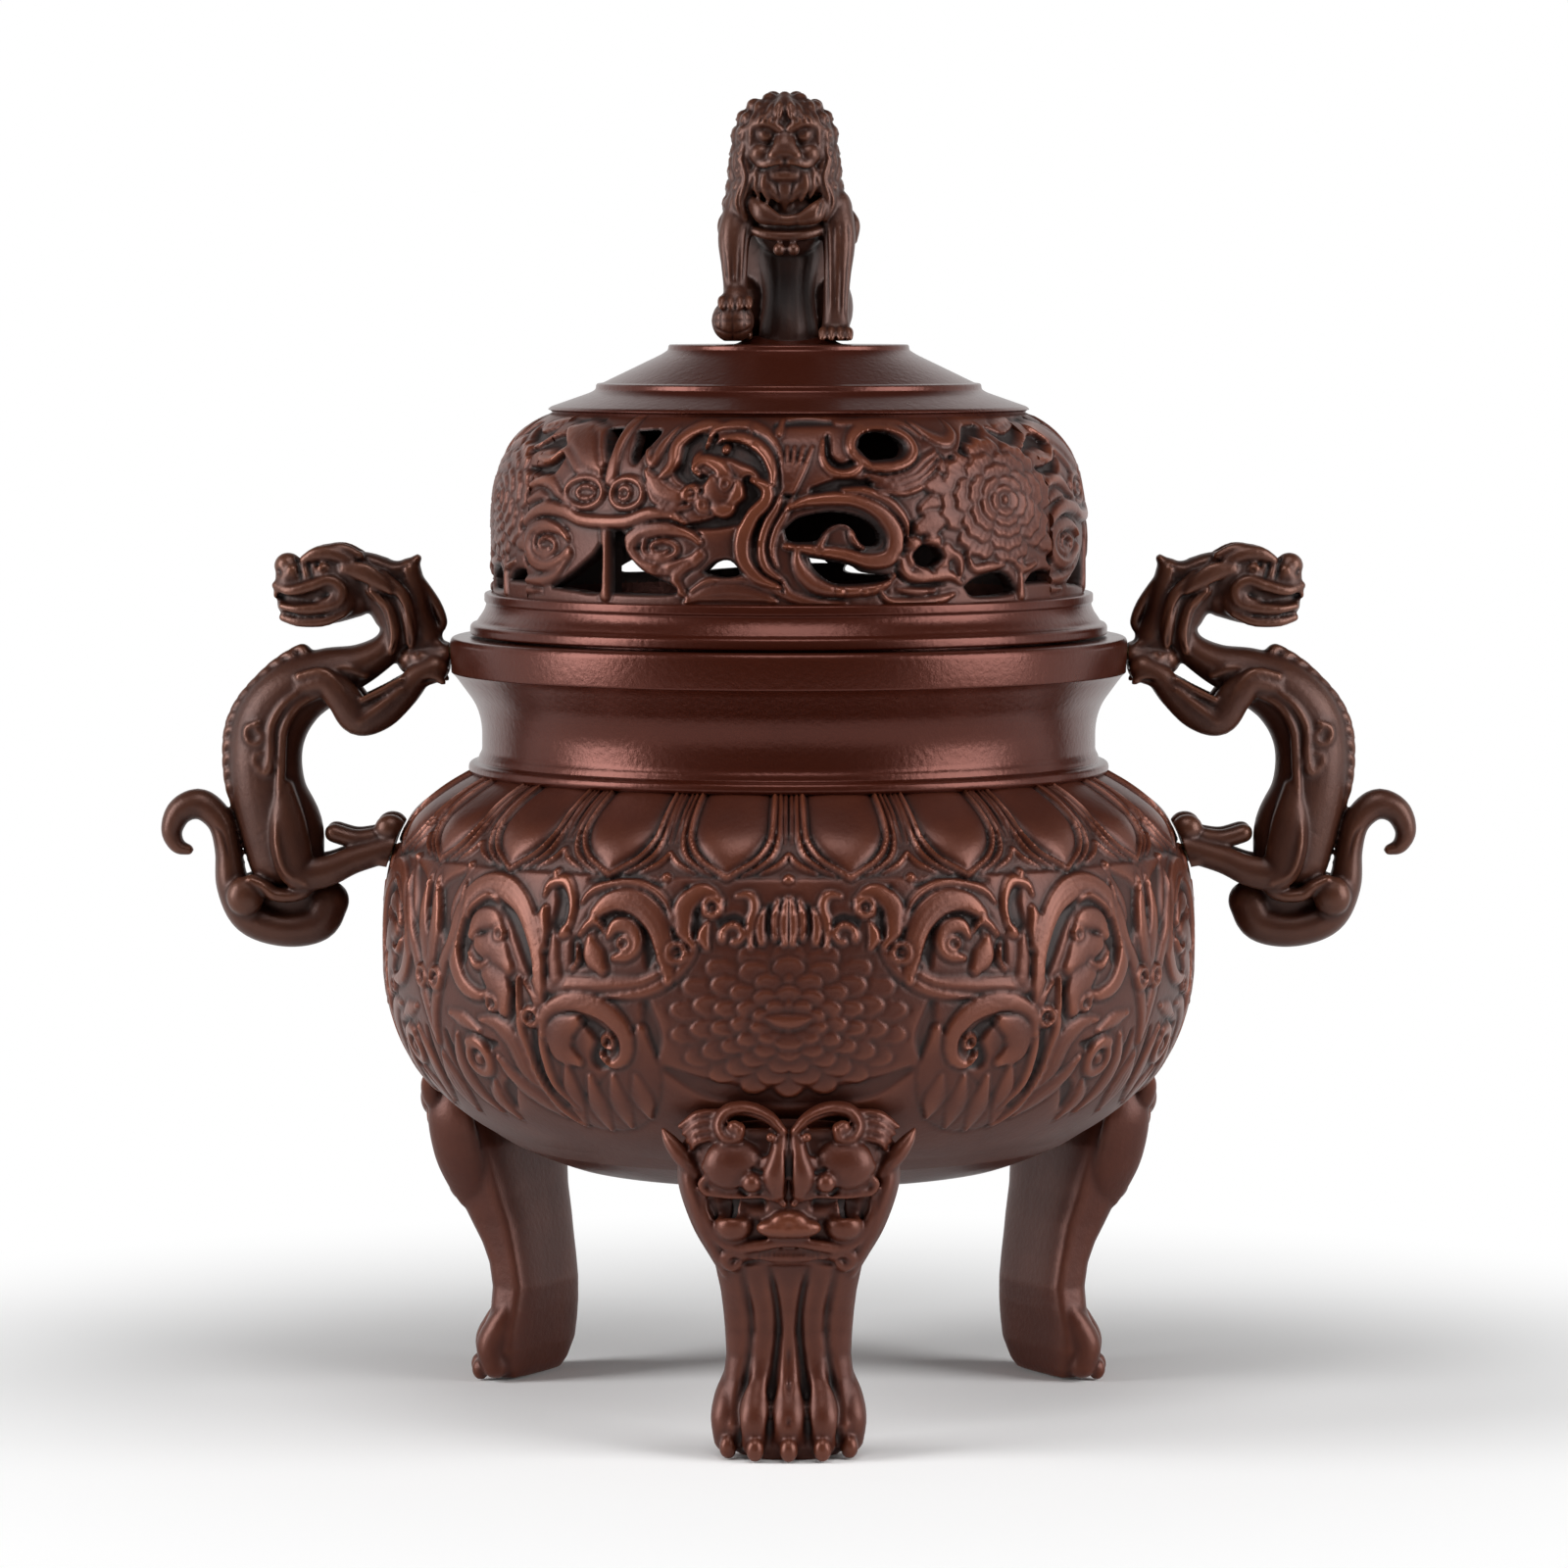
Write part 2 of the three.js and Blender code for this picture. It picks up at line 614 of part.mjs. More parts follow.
function dragonEgg([out, up], [a, b, c], aside = 0, lean = 0) {
  const [x, z] = dragonPoint(out, up);
  return egg([x, aside, z], [a * dragonWide, b, c * dragonTall], lean);
}

const backLine = [[12, -4], [21, -3], [32, -4.4], [42, -8.4], [49, -15.4], [53, -23], [53.8, -31], [53, -38]];

// The saw-toothed crest along the dragon's back: a flat plate whose outer edge steps in and out
function dragonCrest() {
  const line = new THREE.SplineCurve(backLine.map(([out, up]) => {
    const [x, z] = dragonPoint(out, up);
    return new THREE.Vector2(x, z);
  }));
  const count = 2 * crestTeeth;
  const outer = [];
  const inner = [];
  const rootEvery = 4;
  for (let i = 0; i <= count; i += 1) {
    const t = 0.3 + (0.7 * i) / count;
    const tangent = line.getTangent(t);
    const point = line.getPoint(t);
    const height = i % 2 ? crestHeight : 0;
    outer.push(new THREE.Vector2(point.x + tangent.y * height, point.y - tangent.x * height));
    if (i % rootEvery === 0) {
      inner.push(new THREE.Vector2(point.x - tangent.y * crestRoot, point.y + tangent.x * crestRoot));
    }
  }
  const shape = new THREE.Shape([...outer, ...inner.reverse()]);
  const plate = new THREE.ExtrudeGeometry(shape, { depth: crestThickness, bevelEnabled: false });
  plate.rotateX(Math.PI / 2);
  plate.translate(0, crestThickness / 2, 0);
  return solid(plate);
}

function dragonCasting(clearance, screws) {
  const b = dragonThickness / 2;
  const pair = legPairSpacing / 2;
  const pawRadius = bellyRadiusAt(pawHeight);
  const kneeX = dragonPoint(30, -54)[0];
  const hipX = dragonPoint(41, -54)[0];
  const across = new THREE.Vector3(0, 1, 0);
  const parts = [dragonCrest()];
  parts.push(dragonLimb([
    [19, 13, 6.4, b * 0.72], [12.4, 5, 6.2, b * 0.72], [12.6, -4.4, 5.6, b * 0.78], [22, -9, 6.4, b * 0.86],
    [31, -11.4, 7.6, b * 0.95], [40, -16.8, 8.6, b], [44.7, -28, 9.1, b], [44, -40, 9.3, b],
    [40, -52, 10.6, b * 1.08], [41, -63, 7.5, b],
  ], 0, 8, 1));
  parts.push(dragonLimb([
    [30, -59, 4.2, b * 0.9], [33.6, -69, 4.8, b], [42, -71.4, 4.6, b], [49.4, -69, 4, b * 0.9],
    [53.4, -61, 3, b * 0.7], [54.6, -51.6, 2.6, 4], [56.8, -44.4, 3.6, 4], [61.6, -40.6, 3.8, 3.6],
    [66.5, -42.4, 3.2, 3.2], [68.6, -47.4, 2.6, 2.8], [67, -52, 1.9, 2.2], [63.6, -53.2, 1.1, 1.4],
  ]));
  parts.push(dragonEgg([22.6, 12.6], [9.4, b * 0.86, 6.8]));
  parts.push(dragonEgg([28, 9], [6.6, b * 0.95, 6.4]));
  parts.push(dragonLimb([[25, 12, 6, b * 0.8], [33, 13.4, 4.6, b * 0.72], [38.6, 16, 4, b * 0.6]]));
  parts.push(dragonLimb([[25, 6, 3.6, b * 0.7], [32, 4.8, 3.2, b * 0.6], [37.6, 5.8, 2.8, b * 0.5]]));
  parts.push(dragonLimb([[15, 12, 4.2, 3], [9.5, 7.5, 3.8, 2.6], [4.4, 1.6, 2.6, 2.4]], 0, 5));
  for (const side of [-pair, pair]) {
    parts.push(dragonLimb([
      [30, 19.6, 2.8, 2.4], [21, 19.6, 2, 1.8], [13, 17, 2.2, 1.8], [7, 19, 1, 1],
    ], side * 0.52, 5));
    parts.push(dragonLimb([
      [32, -12, 5.4, 3], [21.2, -20, 4.6, 3.6], [14.8, -17, 4.4, 3.4], [8.6, -10.6, 3.6, 3.2],
      [2.6, -4.8, 4.4, 3.6],
    ], side, 5));
    parts.push(limb([
      [hipX, side * 0.8, pawHeight - 2, 9, 3.6], [kneeX, side, pawHeight - 1.4, 5.2, 3.6],
      [lerp(kneeX, -pawRadius, 0.6), side, pawHeight - 1.6, 3.7, 3.3], [1 - pawRadius, side, pawHeight, 4.6, 3.7],
    ], across, 5));
    parts.push(egg([-pawRadius - 0.4, side, pawHeight + 6], [3.8, 3.4, 3.8]));
  }
  const rimPad = rimRadius + rimScrewGrip + padCover;
  const pawPad = pawRadius + pawScrewGrip + padCover;
  const padTop = rimTop - seatGap - 0.2;
  parts.push(slab([-rimPad, padRoot - rimRadius], [-pair, pair], [rimBottom - 1.5, padTop]));
  const pawPadHalf = pawPadHeight / 2;
  parts.push(slab([-pawPad, padRoot - pawRadius], [-pair, pair], [pawHeight - pawPadHalf, pawHeight + pawPadHalf]));
  return joined(parts).subtract(clearance).subtract(joined(screws));
}

// Lion knob, drawn 61.8 high, seated and facing the front, with its right forepaw on a ball
const lionScale = lionHeight / 61.8;

function lionPoint(x, y, z) {
  return [x * lionScale, y * lionScale, lidTop + z * lionScale];
}

function lionEgg(place, halves, around = 6, rows = 4) {
  return egg(lionPoint(...place), halves.map((size) => size * lionScale), 0, around, rows);
}

function lionLimb(stops, side = new THREE.Vector3(1, 0, 0), sides = 5, steps = 1) {
  return limb(stops.map(([x, y, z, a, b]) => [
    ...lionPoint(x, y, z), a * lionScale, (b ?? a) * lionScale,
  ]), side, sides, steps);
}

const maneRows = [
  { height: 48, ring: 11.2, curls: 4, size: 5.6 },
  { height: 37, ring: 12.4, curls: 4, size: 5.6 },
];

function lionCasting(clearance, screw) {
  const parts = [];
  parts.push(lionLimb([
    [0, 9, 6, 9, 10], [0, 7, 16, 9.5, 10.5], [0, 1, 27, 9, 10], [0, -3, 36, 8.5, 9.5], [0, -3, 46, 9, 10],
  ], new THREE.Vector3(1, 0, 0), 8));
  parts.push(lionEgg([0, 0, 12], [9, 8, 13], 8, 4));
  parts.push(lionEgg([0, -6, 31], [10.5, 7, 8]));
  parts.push(lionEgg([-1, -4.6, 49.5], [11, 10, 11.8], 8, 6));
  parts.push(lionEgg([-1, -13, 44.4], [6.8, 4.6, 4.4]));
  parts.push(lionEgg([-1, -11, 38.6], [5.2, 3.6, 2.6]));
  for (const sign of [-1, 1]) {
    parts.push(lionEgg([-1 + sign * 4.6, -13.2, 50.4], [2.6, 2, 2]));
    parts.push(lionEgg([sign * 10.6, 5, 10], [6.4, 9, 9.6]));
    parts.push(lionLimb([[sign * 12, 4, 3, 3.2], [sign * 13, -5, 2.8, 3, 3.4]]));
  }
  for (const { height, ring, curls, size } of maneRows) {
    for (let k = 0; k < curls; k += 1) {
      const angle = radians(-15 + (210 * k) / (curls - 1));
      const place = [-1 + ring * Math.cos(angle), -3 + 0.85 * ring * Math.sin(angle), height];
      parts.push(lionEgg(place, [size, size, size * 1.1], 5, 4));
    }
  }
  parts.push(lionLimb([[12, -6, 31, 5.4, 5], [12.6, -9, 20, 4, 3.8], [12.2, -11, 9, 3.2, 3.4]]));
  parts.push(lionLimb([[12.2, -9, 3, 3, 4.6], [12.4, -15, 2.6, 2.8, 4.4]]));
  parts.push(lionLimb([[-14, -6, 31, 5.4, 5], [-14.4, -9, 22, 4, 3.8], [-13.6, -11.4, 14, 3.2, 3.6]]));
  parts.push(lionLimb([[-13.4, -10.4, 12, 3, 4], [-13.2, -15.6, 9.4, 2.6, 3.8]]));
  parts.push(egg(lionPoint(-14.2, -13, ballRadius), [ballRadius, ballRadius, ballRadius], 0, 8, 6));
  parts.push(lionLimb([[0, 15, 5, 3.4], [0, 18, 15, 4, 5], [0, 14.6, 26, 2.6, 3.4], [0, 11, 32, 1.2]]));
  return joined(parts).subtract(clearance).subtract(screw);
}

// Finishes: one red-brown patina on every casting, a darker one on the dragons and the lion
const patina = { color: 0x5a3229, roughness: 0.42, metalness: 0.85 };
const darkPatina = { color: 0x452620, roughness: 0.45, metalness: 0.85 };
const brass = { color: 0x8a6a3c, roughness: 0.4, metalness: 0.9 };
const finish = (look) => new THREE.MeshStandardMaterial(look);

// Screw seats. The leg screws follow the normal of the belly, the others are radial or upright.
const legScrewHeight = lerp(baseHeight, legTop, 0.72);
const legScrewRadius = bellyRadiusAt(legScrewHeight, bowlWall);
const slopeStep = 0.5;
const slope = bellyRadiusAt(legScrewHeight + slopeStep) - bellyRadiusAt(legScrewHeight - slopeStep);
const legNormal = new THREE.Vector3(0, -2 * slopeStep, -slope).normalize();
const legScrewSeat = new THREE.Vector3(0, -legScrewRadius, legScrewHeight).addScaledVector(legNormal, 0.8);
const legScrewLength = bowlWall + legScrewGrip;
const legScrewPlace = placement(legScrewSeat, legNormal);

const rimScrewHeight = rimTop - rimHeight / 2;
const rimScrewHead = 2.4;
const rimScrewLength = rimRadius - mouthRadius - rimScrewHead + rimScrewGrip - 2 * screwGap;
const rimScrewSeat = new THREE.Vector3(-(mouthRadius + rimScrewHead + 2 * screwGap), 0, rimScrewHeight);
const rimScrewPlace = placement(rimScrewSeat, new THREE.Vector3(-1, 0, 0));

const pawScrewRadius = bellyRadiusAt(pawHeight, bowlWall) + 0.4;
const pawScrewLength = bowlWall + pawScrewGrip;
const pawScrewPlace = placement(new THREE.Vector3(-pawScrewRadius, 0, pawHeight), new THREE.Vector3(-1, 0, 0));

const lionScrewSeat = ceiling - washerThickness - 2 * screwGap;
const lionScrewLength = lidTop + lionScrewGrip - lionScrewSeat;
const lionScrewPlace = placement(new THREE.Vector3(0, 0, lionScrewSeat), new THREE.Vector3(0, 0, 1));

function washerShape() {
  const low = lionScrewSeat + screwGap;
  const high = low + washerThickness;
  const bore = screwRadius + screwGap;
  return turned([[bore, low], [washerRadius, low], [washerRadius, high], [bore, high], [bore, low]], 16);
}

// Assembly
const censer = new THREE.Group();
const vessel = new THREE.Group();
const lidGroup = new THREE.Group();
censer.add(vessel, lidGroup);

const bowlProfile = bowlOutside();
const overRim = [[rimRadius + seatGap, rimTop + seatGap], [0, rimTop + seatGap]];
const bowlClearance = turned([...grown(bowlProfile, seatGap), ...overRim]);
const legScrewCut = placed(screwShape(legScrewLength, screwGap), legScrewPlace);
const rimScrewCut = placed(screwShape(rimScrewLength, screwGap, rimScrewHead + 4), rimScrewPlace);
const pawScrewCut = placed(screwShape(pawScrewLength, screwGap), pawScrewPlace);

const bowlHollow = turned([...bowlInside().reverse(), [mouthRadius, rimTop + cutPast], [0, rimTop + cutPast]]);
const bellySkin = reliefSkin(bellyHeights, bellyColumns, bellyRadiusAt, bellyReliefDepth, bellyLift);
const bowlBody = withRelief([...bowlProfile, [0, rimTop]], bellyHeights, bellySkin);
let bowl = bowlBody.subtract(bowlHollow);
for (const angle of Object.values(legAngles)) {
  bowl = bowl.subtract(placed(legScrewCut, turnedAbout(angle, new THREE.Matrix4())));
}
for (const angle of [0, 180]) {
  const turn = turnedAbout(angle, new THREE.Matrix4());
  bowl = bowl.subtract(placed(rimScrewCut, turn)).subtract(placed(pawScrewCut, turn));
}
vessel.add(mesh('bowl', bowl, finish(patina)));

const leg = legCasting(bowlClearance, legScrewCut);
const legScrew = placed(screwShape(legScrewLength), legScrewPlace);
for (const [name, angle] of Object.entries(legAngles)) {
  const casting = mesh(`leg_${name}`, leg, finish(patina));
  const screw = mesh(`leg_screw_${name}`, legScrew, finish(brass));
  casting.rotation.z = radians(angle);
  screw.rotation.z = radians(angle);
  vessel.add(casting, screw);
}

const dragon = dragonCasting(bowlClearance, [rimScrewCut, pawScrewCut]);
const rimScrew = placed(screwShape(rimScrewLength, 0, rimScrewHead), rimScrewPlace);
const pawScrew = placed(screwShape(pawScrewLength), pawScrewPlace);
for (const [name, angle] of Object.entries({ left: 0, right: 180 })) {
  const pieces = [
    mesh(`handle_${name}`, dragon, finish(darkPatina)),
    mesh(`handle_rim_screw_${name}`, rimScrew, finish(brass)),
    mesh(`handle_paw_screw_${name}`, pawScrew, finish(brass)),
  ];
  for (const piece of pieces) {
    piece.rotation.z = radians(angle);
    vessel.add(piece);
  }
}

const lidProfile = lidOutside();
const vents = [];
for (const panel of [0, 120, 240]) {
  for (const outline of ventOutlines) {
    vents.push(vent(outline, panel));
  }
}
const lionScrewCut = placed(screwShape(lionScrewLength, screwGap), lionScrewPlace);
const lidFloor = lidSeat - skirtDepth;
const lidHollow = turned([[0, lidFloor - cutPast], [skirtBore, lidFloor - cutPast], ...lidInside().reverse()]);
const bandSkin = reliefSkin(bandHeights, bandColumns, bandRadiusAt, bandReliefDepth, bandLift);
const lidBody = withRelief([[0, lidFloor], ...lidProfile], bandHeights, bandSkin);
const lid = lidBody.subtract(lidHollow).subtract(joined(vents)).subtract(lionScrewCut);
const topProfile = lidProfile.slice(-6);
const topClearance = turned([[0, coneBottom], ...grown(topProfile, seatGap)]);
lidGroup.add(mesh('lid', lid, finish(patina)));
lidGroup.add(mesh('lion_finial', lionCasting(topClearance, lionScrewCut), finish(darkPatina)));
lidGroup.add(mesh('finial_screw', placed(screwShape(lionScrewLength), lionScrewPlace), finish(brass)));
lidGroup.add(mesh('finial_washer', washerShape(), finish(brass)));

export default censer;
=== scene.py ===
import json

import bpy
import numpy as np
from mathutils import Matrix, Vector

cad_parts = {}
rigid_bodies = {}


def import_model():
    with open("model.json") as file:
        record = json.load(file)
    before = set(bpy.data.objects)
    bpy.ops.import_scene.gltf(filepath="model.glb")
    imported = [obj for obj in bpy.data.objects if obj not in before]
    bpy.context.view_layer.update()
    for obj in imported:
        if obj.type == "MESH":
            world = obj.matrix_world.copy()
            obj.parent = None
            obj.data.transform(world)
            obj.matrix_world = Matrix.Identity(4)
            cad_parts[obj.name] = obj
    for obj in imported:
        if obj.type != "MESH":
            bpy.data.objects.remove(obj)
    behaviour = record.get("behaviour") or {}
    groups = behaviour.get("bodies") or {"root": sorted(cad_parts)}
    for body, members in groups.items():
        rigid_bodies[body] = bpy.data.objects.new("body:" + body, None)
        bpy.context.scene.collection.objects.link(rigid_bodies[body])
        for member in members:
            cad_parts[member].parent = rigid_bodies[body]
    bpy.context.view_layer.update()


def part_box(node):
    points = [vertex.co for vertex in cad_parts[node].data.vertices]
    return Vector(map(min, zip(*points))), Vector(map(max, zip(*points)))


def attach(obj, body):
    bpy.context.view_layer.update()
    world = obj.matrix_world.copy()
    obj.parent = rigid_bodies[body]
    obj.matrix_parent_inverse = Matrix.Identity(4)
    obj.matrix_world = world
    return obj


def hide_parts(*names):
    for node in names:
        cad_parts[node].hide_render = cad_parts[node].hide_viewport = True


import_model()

# Bowl: the belly.
# A round body of cast copper alloy under a red-brown patina, ringed with scrolling lotus in low relief
# under a shoulder of lappets. The pattern was carved in the wax once and repeats above each leg.
bowl_low, bowl_high = (1000 * np.array(corner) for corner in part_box("bowl"))
belly_radius = (bowl_high[0] - bowl_low[0]) / 2
bowl_tall = bowl_high[2] - bowl_low[2]
base_height = bowl_low[2]
belly_wide_at = base_height + 0.4446 * bowl_tall
belly_rise = 0.3905 * bowl_tall
lower_power, upper_power = 2.5, 3.0
belly_wall = 4.5
# heights of the relief: its ground, its middle, and the level that lies on the belly's own form
ground_level, mid_level, top_level = 0.9, 1.4, 1.9
# the relief's ends, as arc lengths down and up from the widest ring, and half the pitch of the lappets
lower_end, shoulder_end = -62.0, 51.5
lappet = 15.0
belly_grid = (211, 225)


def smooth_path(points, steps=8):
    """Catmull-Rom curve: each span is the cubic through two points whose slope at either end is half
    the step between that end's neighbours."""
    p = np.asarray(points, float)
    p = np.vstack([2 * p[0] - p[1], p, 2 * p[-1] - p[-2]])
    t = np.linspace(0, 1, steps, endpoint=False)[:, None]
    spans = []
    for a, b, c, d in zip(p, p[1:], p[2:], p[3:]):
        spans.append(b + 0.5 * t * (c - a) + t**2 * (a - 2.5 * b + 2 * c - 0.5 * d)
                     + t**3 * (1.5 * (b - c) + 0.5 * (d - a)))
    return np.vstack(spans + [p[-2:-1]])


def coil(centre, start, end, first, last):
    """Spiral: the radius runs evenly from start to end while the angle runs from first to last."""
    turns = np.radians(np.arange(first, last + 1, 30))
    radius = np.linspace(start, end, len(turns))
    return np.column_stack([centre[0] + radius * np.cos(turns), centre[1] + radius * np.sin(turns)])


def along(points):
    """Distance run along a line of points at each of them."""
    return np.concatenate([[0], np.cumsum(np.hypot(*np.diff(points, axis=0).T))])


def nearest(line, x, y):
    """For each place: its distance to a line, and the share of the line's length at the nearest point."""
    best, share = np.full(x.shape, 1e9), np.zeros(x.shape)
    run = along(line)
    for a, b, here, there in zip(line, line[1:], run, run[1:]):
        step = b - a
        t = np.clip(((x - a[0]) * step[0] + (y - a[1]) * step[1]) / (step @ step + 1e-12), 0, 1)
        far = np.hypot(x - a[0] - t * step[0], y - a[1] - t * step[1])
        share = np.where(far < best, (here + t * (there - here)) / run[-1], share)
        best = np.minimum(best, far)
    return best, share


class Relief:
    """Heights in mm over a grid of places across and up a surface that is laid out flat."""

    def __init__(self, across, up, level):
        self.across, self.up = across, up
        self.height = np.full((len(up), len(across)), float(level))

    def near(self, points, widths):
        """For the patch of grid round a curve: its slices, the distance to the curve, and the
        half-width of the stroke at the nearest point of the curve."""
        line = smooth_path(points)
        reach = np.max(widths) + 1.2
        low, high = line.min(0) - reach, line.max(0) + reach
        rows = slice(*np.searchsorted(self.up, [low[1], high[1]]))
        columns = slice(*np.searchsorted(self.across, [low[0], high[0]]))
        best, share = nearest(line, *np.meshgrid(self.across[columns], self.up[rows]))
        known = smooth_path(np.column_stack([np.linspace(0, 1, len(widths)), widths]))
        return (rows, columns), best, np.maximum(np.interp(share, *known.T), 0.2)

    def strap(self, points, widths, height, groove=0.5, lip=0.0, veins=0, soft=0.5):
        """A leaf or stem: height - 0.75 (1 - (1 - q^2)^soft) at q half-widths from its middle line,
        with a raised lip just inside its edge, veins cut along it, and a groove sunk round it."""
        patch, far, half = self.near(points, widths)
        q = far / half
        top = height - 0.75 * (1 - np.clip(1 - q**2, 0, 1) ** soft)
        top = top + lip * np.exp(-((((1 - q) * half - 0.55) / 0.3) ** 2))
        if veins:
            top = top - 0.28 * np.exp(-(((q - 0.5) * half / 0.25) ** 2)) * (half > 1.1)
        if veins > 1:
            top = top - 0.28 * np.exp(-((far / 0.25) ** 2)) * (half > 1.1)
        cover = np.clip((1 - q) * half / 0.35, 0, 1)
        cut = groove * np.exp(-(((far - half) / 0.5) ** 2)) * (far > half)
        self.height[patch] = self.height[patch] * (1 - cover) + top * cover - cut

    def pockets(self, *hollows):
        """Hollows between leaves, each given by points, half-widths and floor: the surface drops to the
        floor over 0.7 mm inside the outline."""
        for points, widths, floor in hollows:
            patch, far, half = self.near(points, widths)
            self.height[patch] += (floor - self.height[patch]) * np.clip((half - far) / 0.7, 0, 1)

    def bead(self, centre, radius, height):
        """A round boss."""
        self.strap([centre, (centre[0] + 0.01, centre[1])], [radius, radius], height)

    def curl(self, centre, radius, height, width):
        """The tight end of a scroll: a ring round a small boss."""
        self.strap(coil(centre, radius, radius, 0, 360), [width, width], height)
        self.bead(centre, radius * 0.4, height)

    def flower(self, centre, rings, lobes=3):
        """Broad petals in rings, the outer one first, each ring given by its radii across and up, its
        number of petals, the angle of the first and its height. A petal ends on an ellipse drawn in by a
        seventh at its sides, with lobes; it dips 0.7 mm inward and 0.5 mm at its sides, under fine veins."""
        x, y = np.meshgrid(self.across - centre[0], self.up - centre[1])
        for wide, tall, count, first, height in rings:
            aside = (np.degrees(np.arctan2(y / tall, x / wide)) - first) * count / 180
            aside = (aside + 1) % 2 - 1
            edge = 1 - 0.14 * np.abs(aside) ** 3 + 0.025 * np.cos(lobes * np.pi * aside)
            q = np.hypot(x / wide, y / tall) / edge
            inside = (1 - q) * min(wide, tall)
            top = height - 0.7 * np.clip(1 - q, 0, 1) - 0.5 * np.abs(aside) ** 6
            top += (0.2 * np.exp(-(((inside - 0.55) / 0.35) ** 2))
                    + 0.07 * np.cos(7 * np.pi * aside) * (q > 0.3))
            cover = np.clip(inside / 0.35, 0, 1)
            cut = 0.4 * np.exp(-((inside / 0.5) ** 2)) * (inside < 0)
            self.height = self.height * (1 - cover) + top * cover - cut

    def softened(self, passes):
        """The heights after so many rounds of averaging each with its neighbours, 1 : 2 : 1."""
        h = self.height
        for _ in range(passes):
            h = np.pad(h, 1, mode="edge")
            h = (h[:-2] + 2 * h[1:-1] + h[2:]) / 4
            h = (h[:, :-2] + 2 * h[:, 1:-1] + h[:, 2:]) / 4
        return h


side = Relief(np.linspace(0, belly_radius * np.pi / 3, belly_grid[0]),
              np.linspace(lower_end, shoulder_end, belly_grid[1]), ground_level)
# sunk pockets between the leaves
side.pockets(
    ([(33.5, 3), (32.8, 8), (35.4, 13), (40, 15), (44.6, 13.6), (46.4, 10.6)],
     [0.8, 2.4, 2.8, 2.6, 2.2, 0.8], 0),
    ([(51.6, 4), (52.4, 8)], [2.6, 1.6], 0.2),
    ([(57.6, 12), (56.6, 17), (58.4, 21)], [2, 2.2, 1.2], 0),
    ([(65.6, 0), (67, 7), (70.6, 12), (75, 15)], [1.2, 3, 2.6, 1], -0.1),
    ([(79, 13.6), (84.6, 10.6), (88.4, 5.4), (88.6, 1)], [0.8, 2.6, 2.2, 0.8], -0.1),
    ([(71.6, -3), (70.6, -8), (72.4, -12)], [0.8, 1.8, 0.8], 0),
    ([(51.4, -10.4), (47.6, -12.6), (46, -16), (47.6, -20.6), (43.4, -21)], [1, 2, 2.4, 2.4, 1], -0.2),
    ([(65.6, -14), (65.8, -22), (64.6, -31)], [0.8, 1.5, 0.8], -0.1),
    ([(79, -18.4), (82.6, -18.8), (86, -17.4)], [0.8, 1.8, 0.8], 0),
    ([(76, -27), (80.6, -32), (82.4, -37)], [0.8, 2.4, 1.2], 0),
    ([(99.6, -17), (98.6, -25), (97.6, -33)], [0.8, 1.6, 0.6], 0),
    ([(92, 22), (98, 16), (97, 8), (94, 2)], [1, 3.4, 2.4, 1], 0),
    ([(103, 18), (103.6, 8)], [1.4, 1.2], 0.1),
    ([(16, 13.6), (12.6, 14.4), (10, 12)], [1.4, 1.8, 1.2], 0),
    ([(4.4, 18), (4.2, 12)], [0.8, 1.2], 0.1),
    ([(24.4, 22), (22, 16), (21.6, 10)], [1, 1, 1.6], 0.1),
    ([(34, -6), (33, -14), (34.6, -22)], [1.4, 3, 1.4], 0.2),
    ([(30, -22), (20, -27), (8, -29), (0, -29.4)], [1.2, 3, 3, 3], 0.3),
    ([(50, 23), (40, 24), (31, 22.6)], [0.8, 1.1, 0.8], 0.1))
# lotus: rings of small petals round a seed pod, seen a little from above
side.flower((0, -10), [(28, 19, 18, 90, 1.15), (23, 15.6, 15, 90, 1.3), (18, 12.2, 14, 97, 1.45),
    (13.4, 9, 12, 90, 1.6), (9, 6, 10, 99, 1.7)], lobes=1)
side.strap([(-5, -8.6), (0, -9.4), (5, -8.6)], [0.6, 1.7, 2, 1.7, 0.6], 1.85, groove=0.4)
# crown of small curls over the flower
side.strap([(0.9, 9), (1.2, 14), (0.4, 20)], [1, 1.3, 0.4], 1.9)
side.strap([(3.1, 10), (3.4, 14.6), (2.4, 19.6)], [0.8, 1.1, 0.4], 1.8)
side.strap([(6.4, 9), (6.8, 13), (5.8, 17)], [1, 1.4, 0.6], 1.7)
side.strap([(8.8, 8), (9.2, 13), (8, 17.6), (9.4, 20.4), (12.4, 20)], [0.8, 1.2, 1.2, 1.2, 0.6], 1.7)
side.strap(coil((12.8, 10.8), 3, 1.6, -20, 300), [1, 0.8], 1.7)
# stems that rise from under the flower to the curls
side.strap([(64, -2.6), (54, -2.4), (44, -1.8), (36, -1.2), (30, 1.6), (26.4, 5)],
           [1.9, 2.4, 2.4, 2, 1.6, 0.8], 1.6, veins=1)
side.strap([(46, -4.6), (38, -3.9), (32, -2.2), (26.6, 1.6), (22.6, 7), (20.6, 12.4)],
           [0.5, 1.1, 1.4, 1.5, 1.3, 0.4], 1.55)
side.strap([(22.4, 8), (25.2, 12.4), (24.6, 17.6), (20.4, 21), (16.2, 19)], [0.8, 2.3, 2.7, 2.2, 1],
           1.9, lip=0.2)
side.curl((18.2, 17.2), 1.9, 2, 0.9)
side.strap([(19.2, 7.6), (20.2, 10.6), (19, 14)], [0.8, 1.7, 0.4], 1.8)
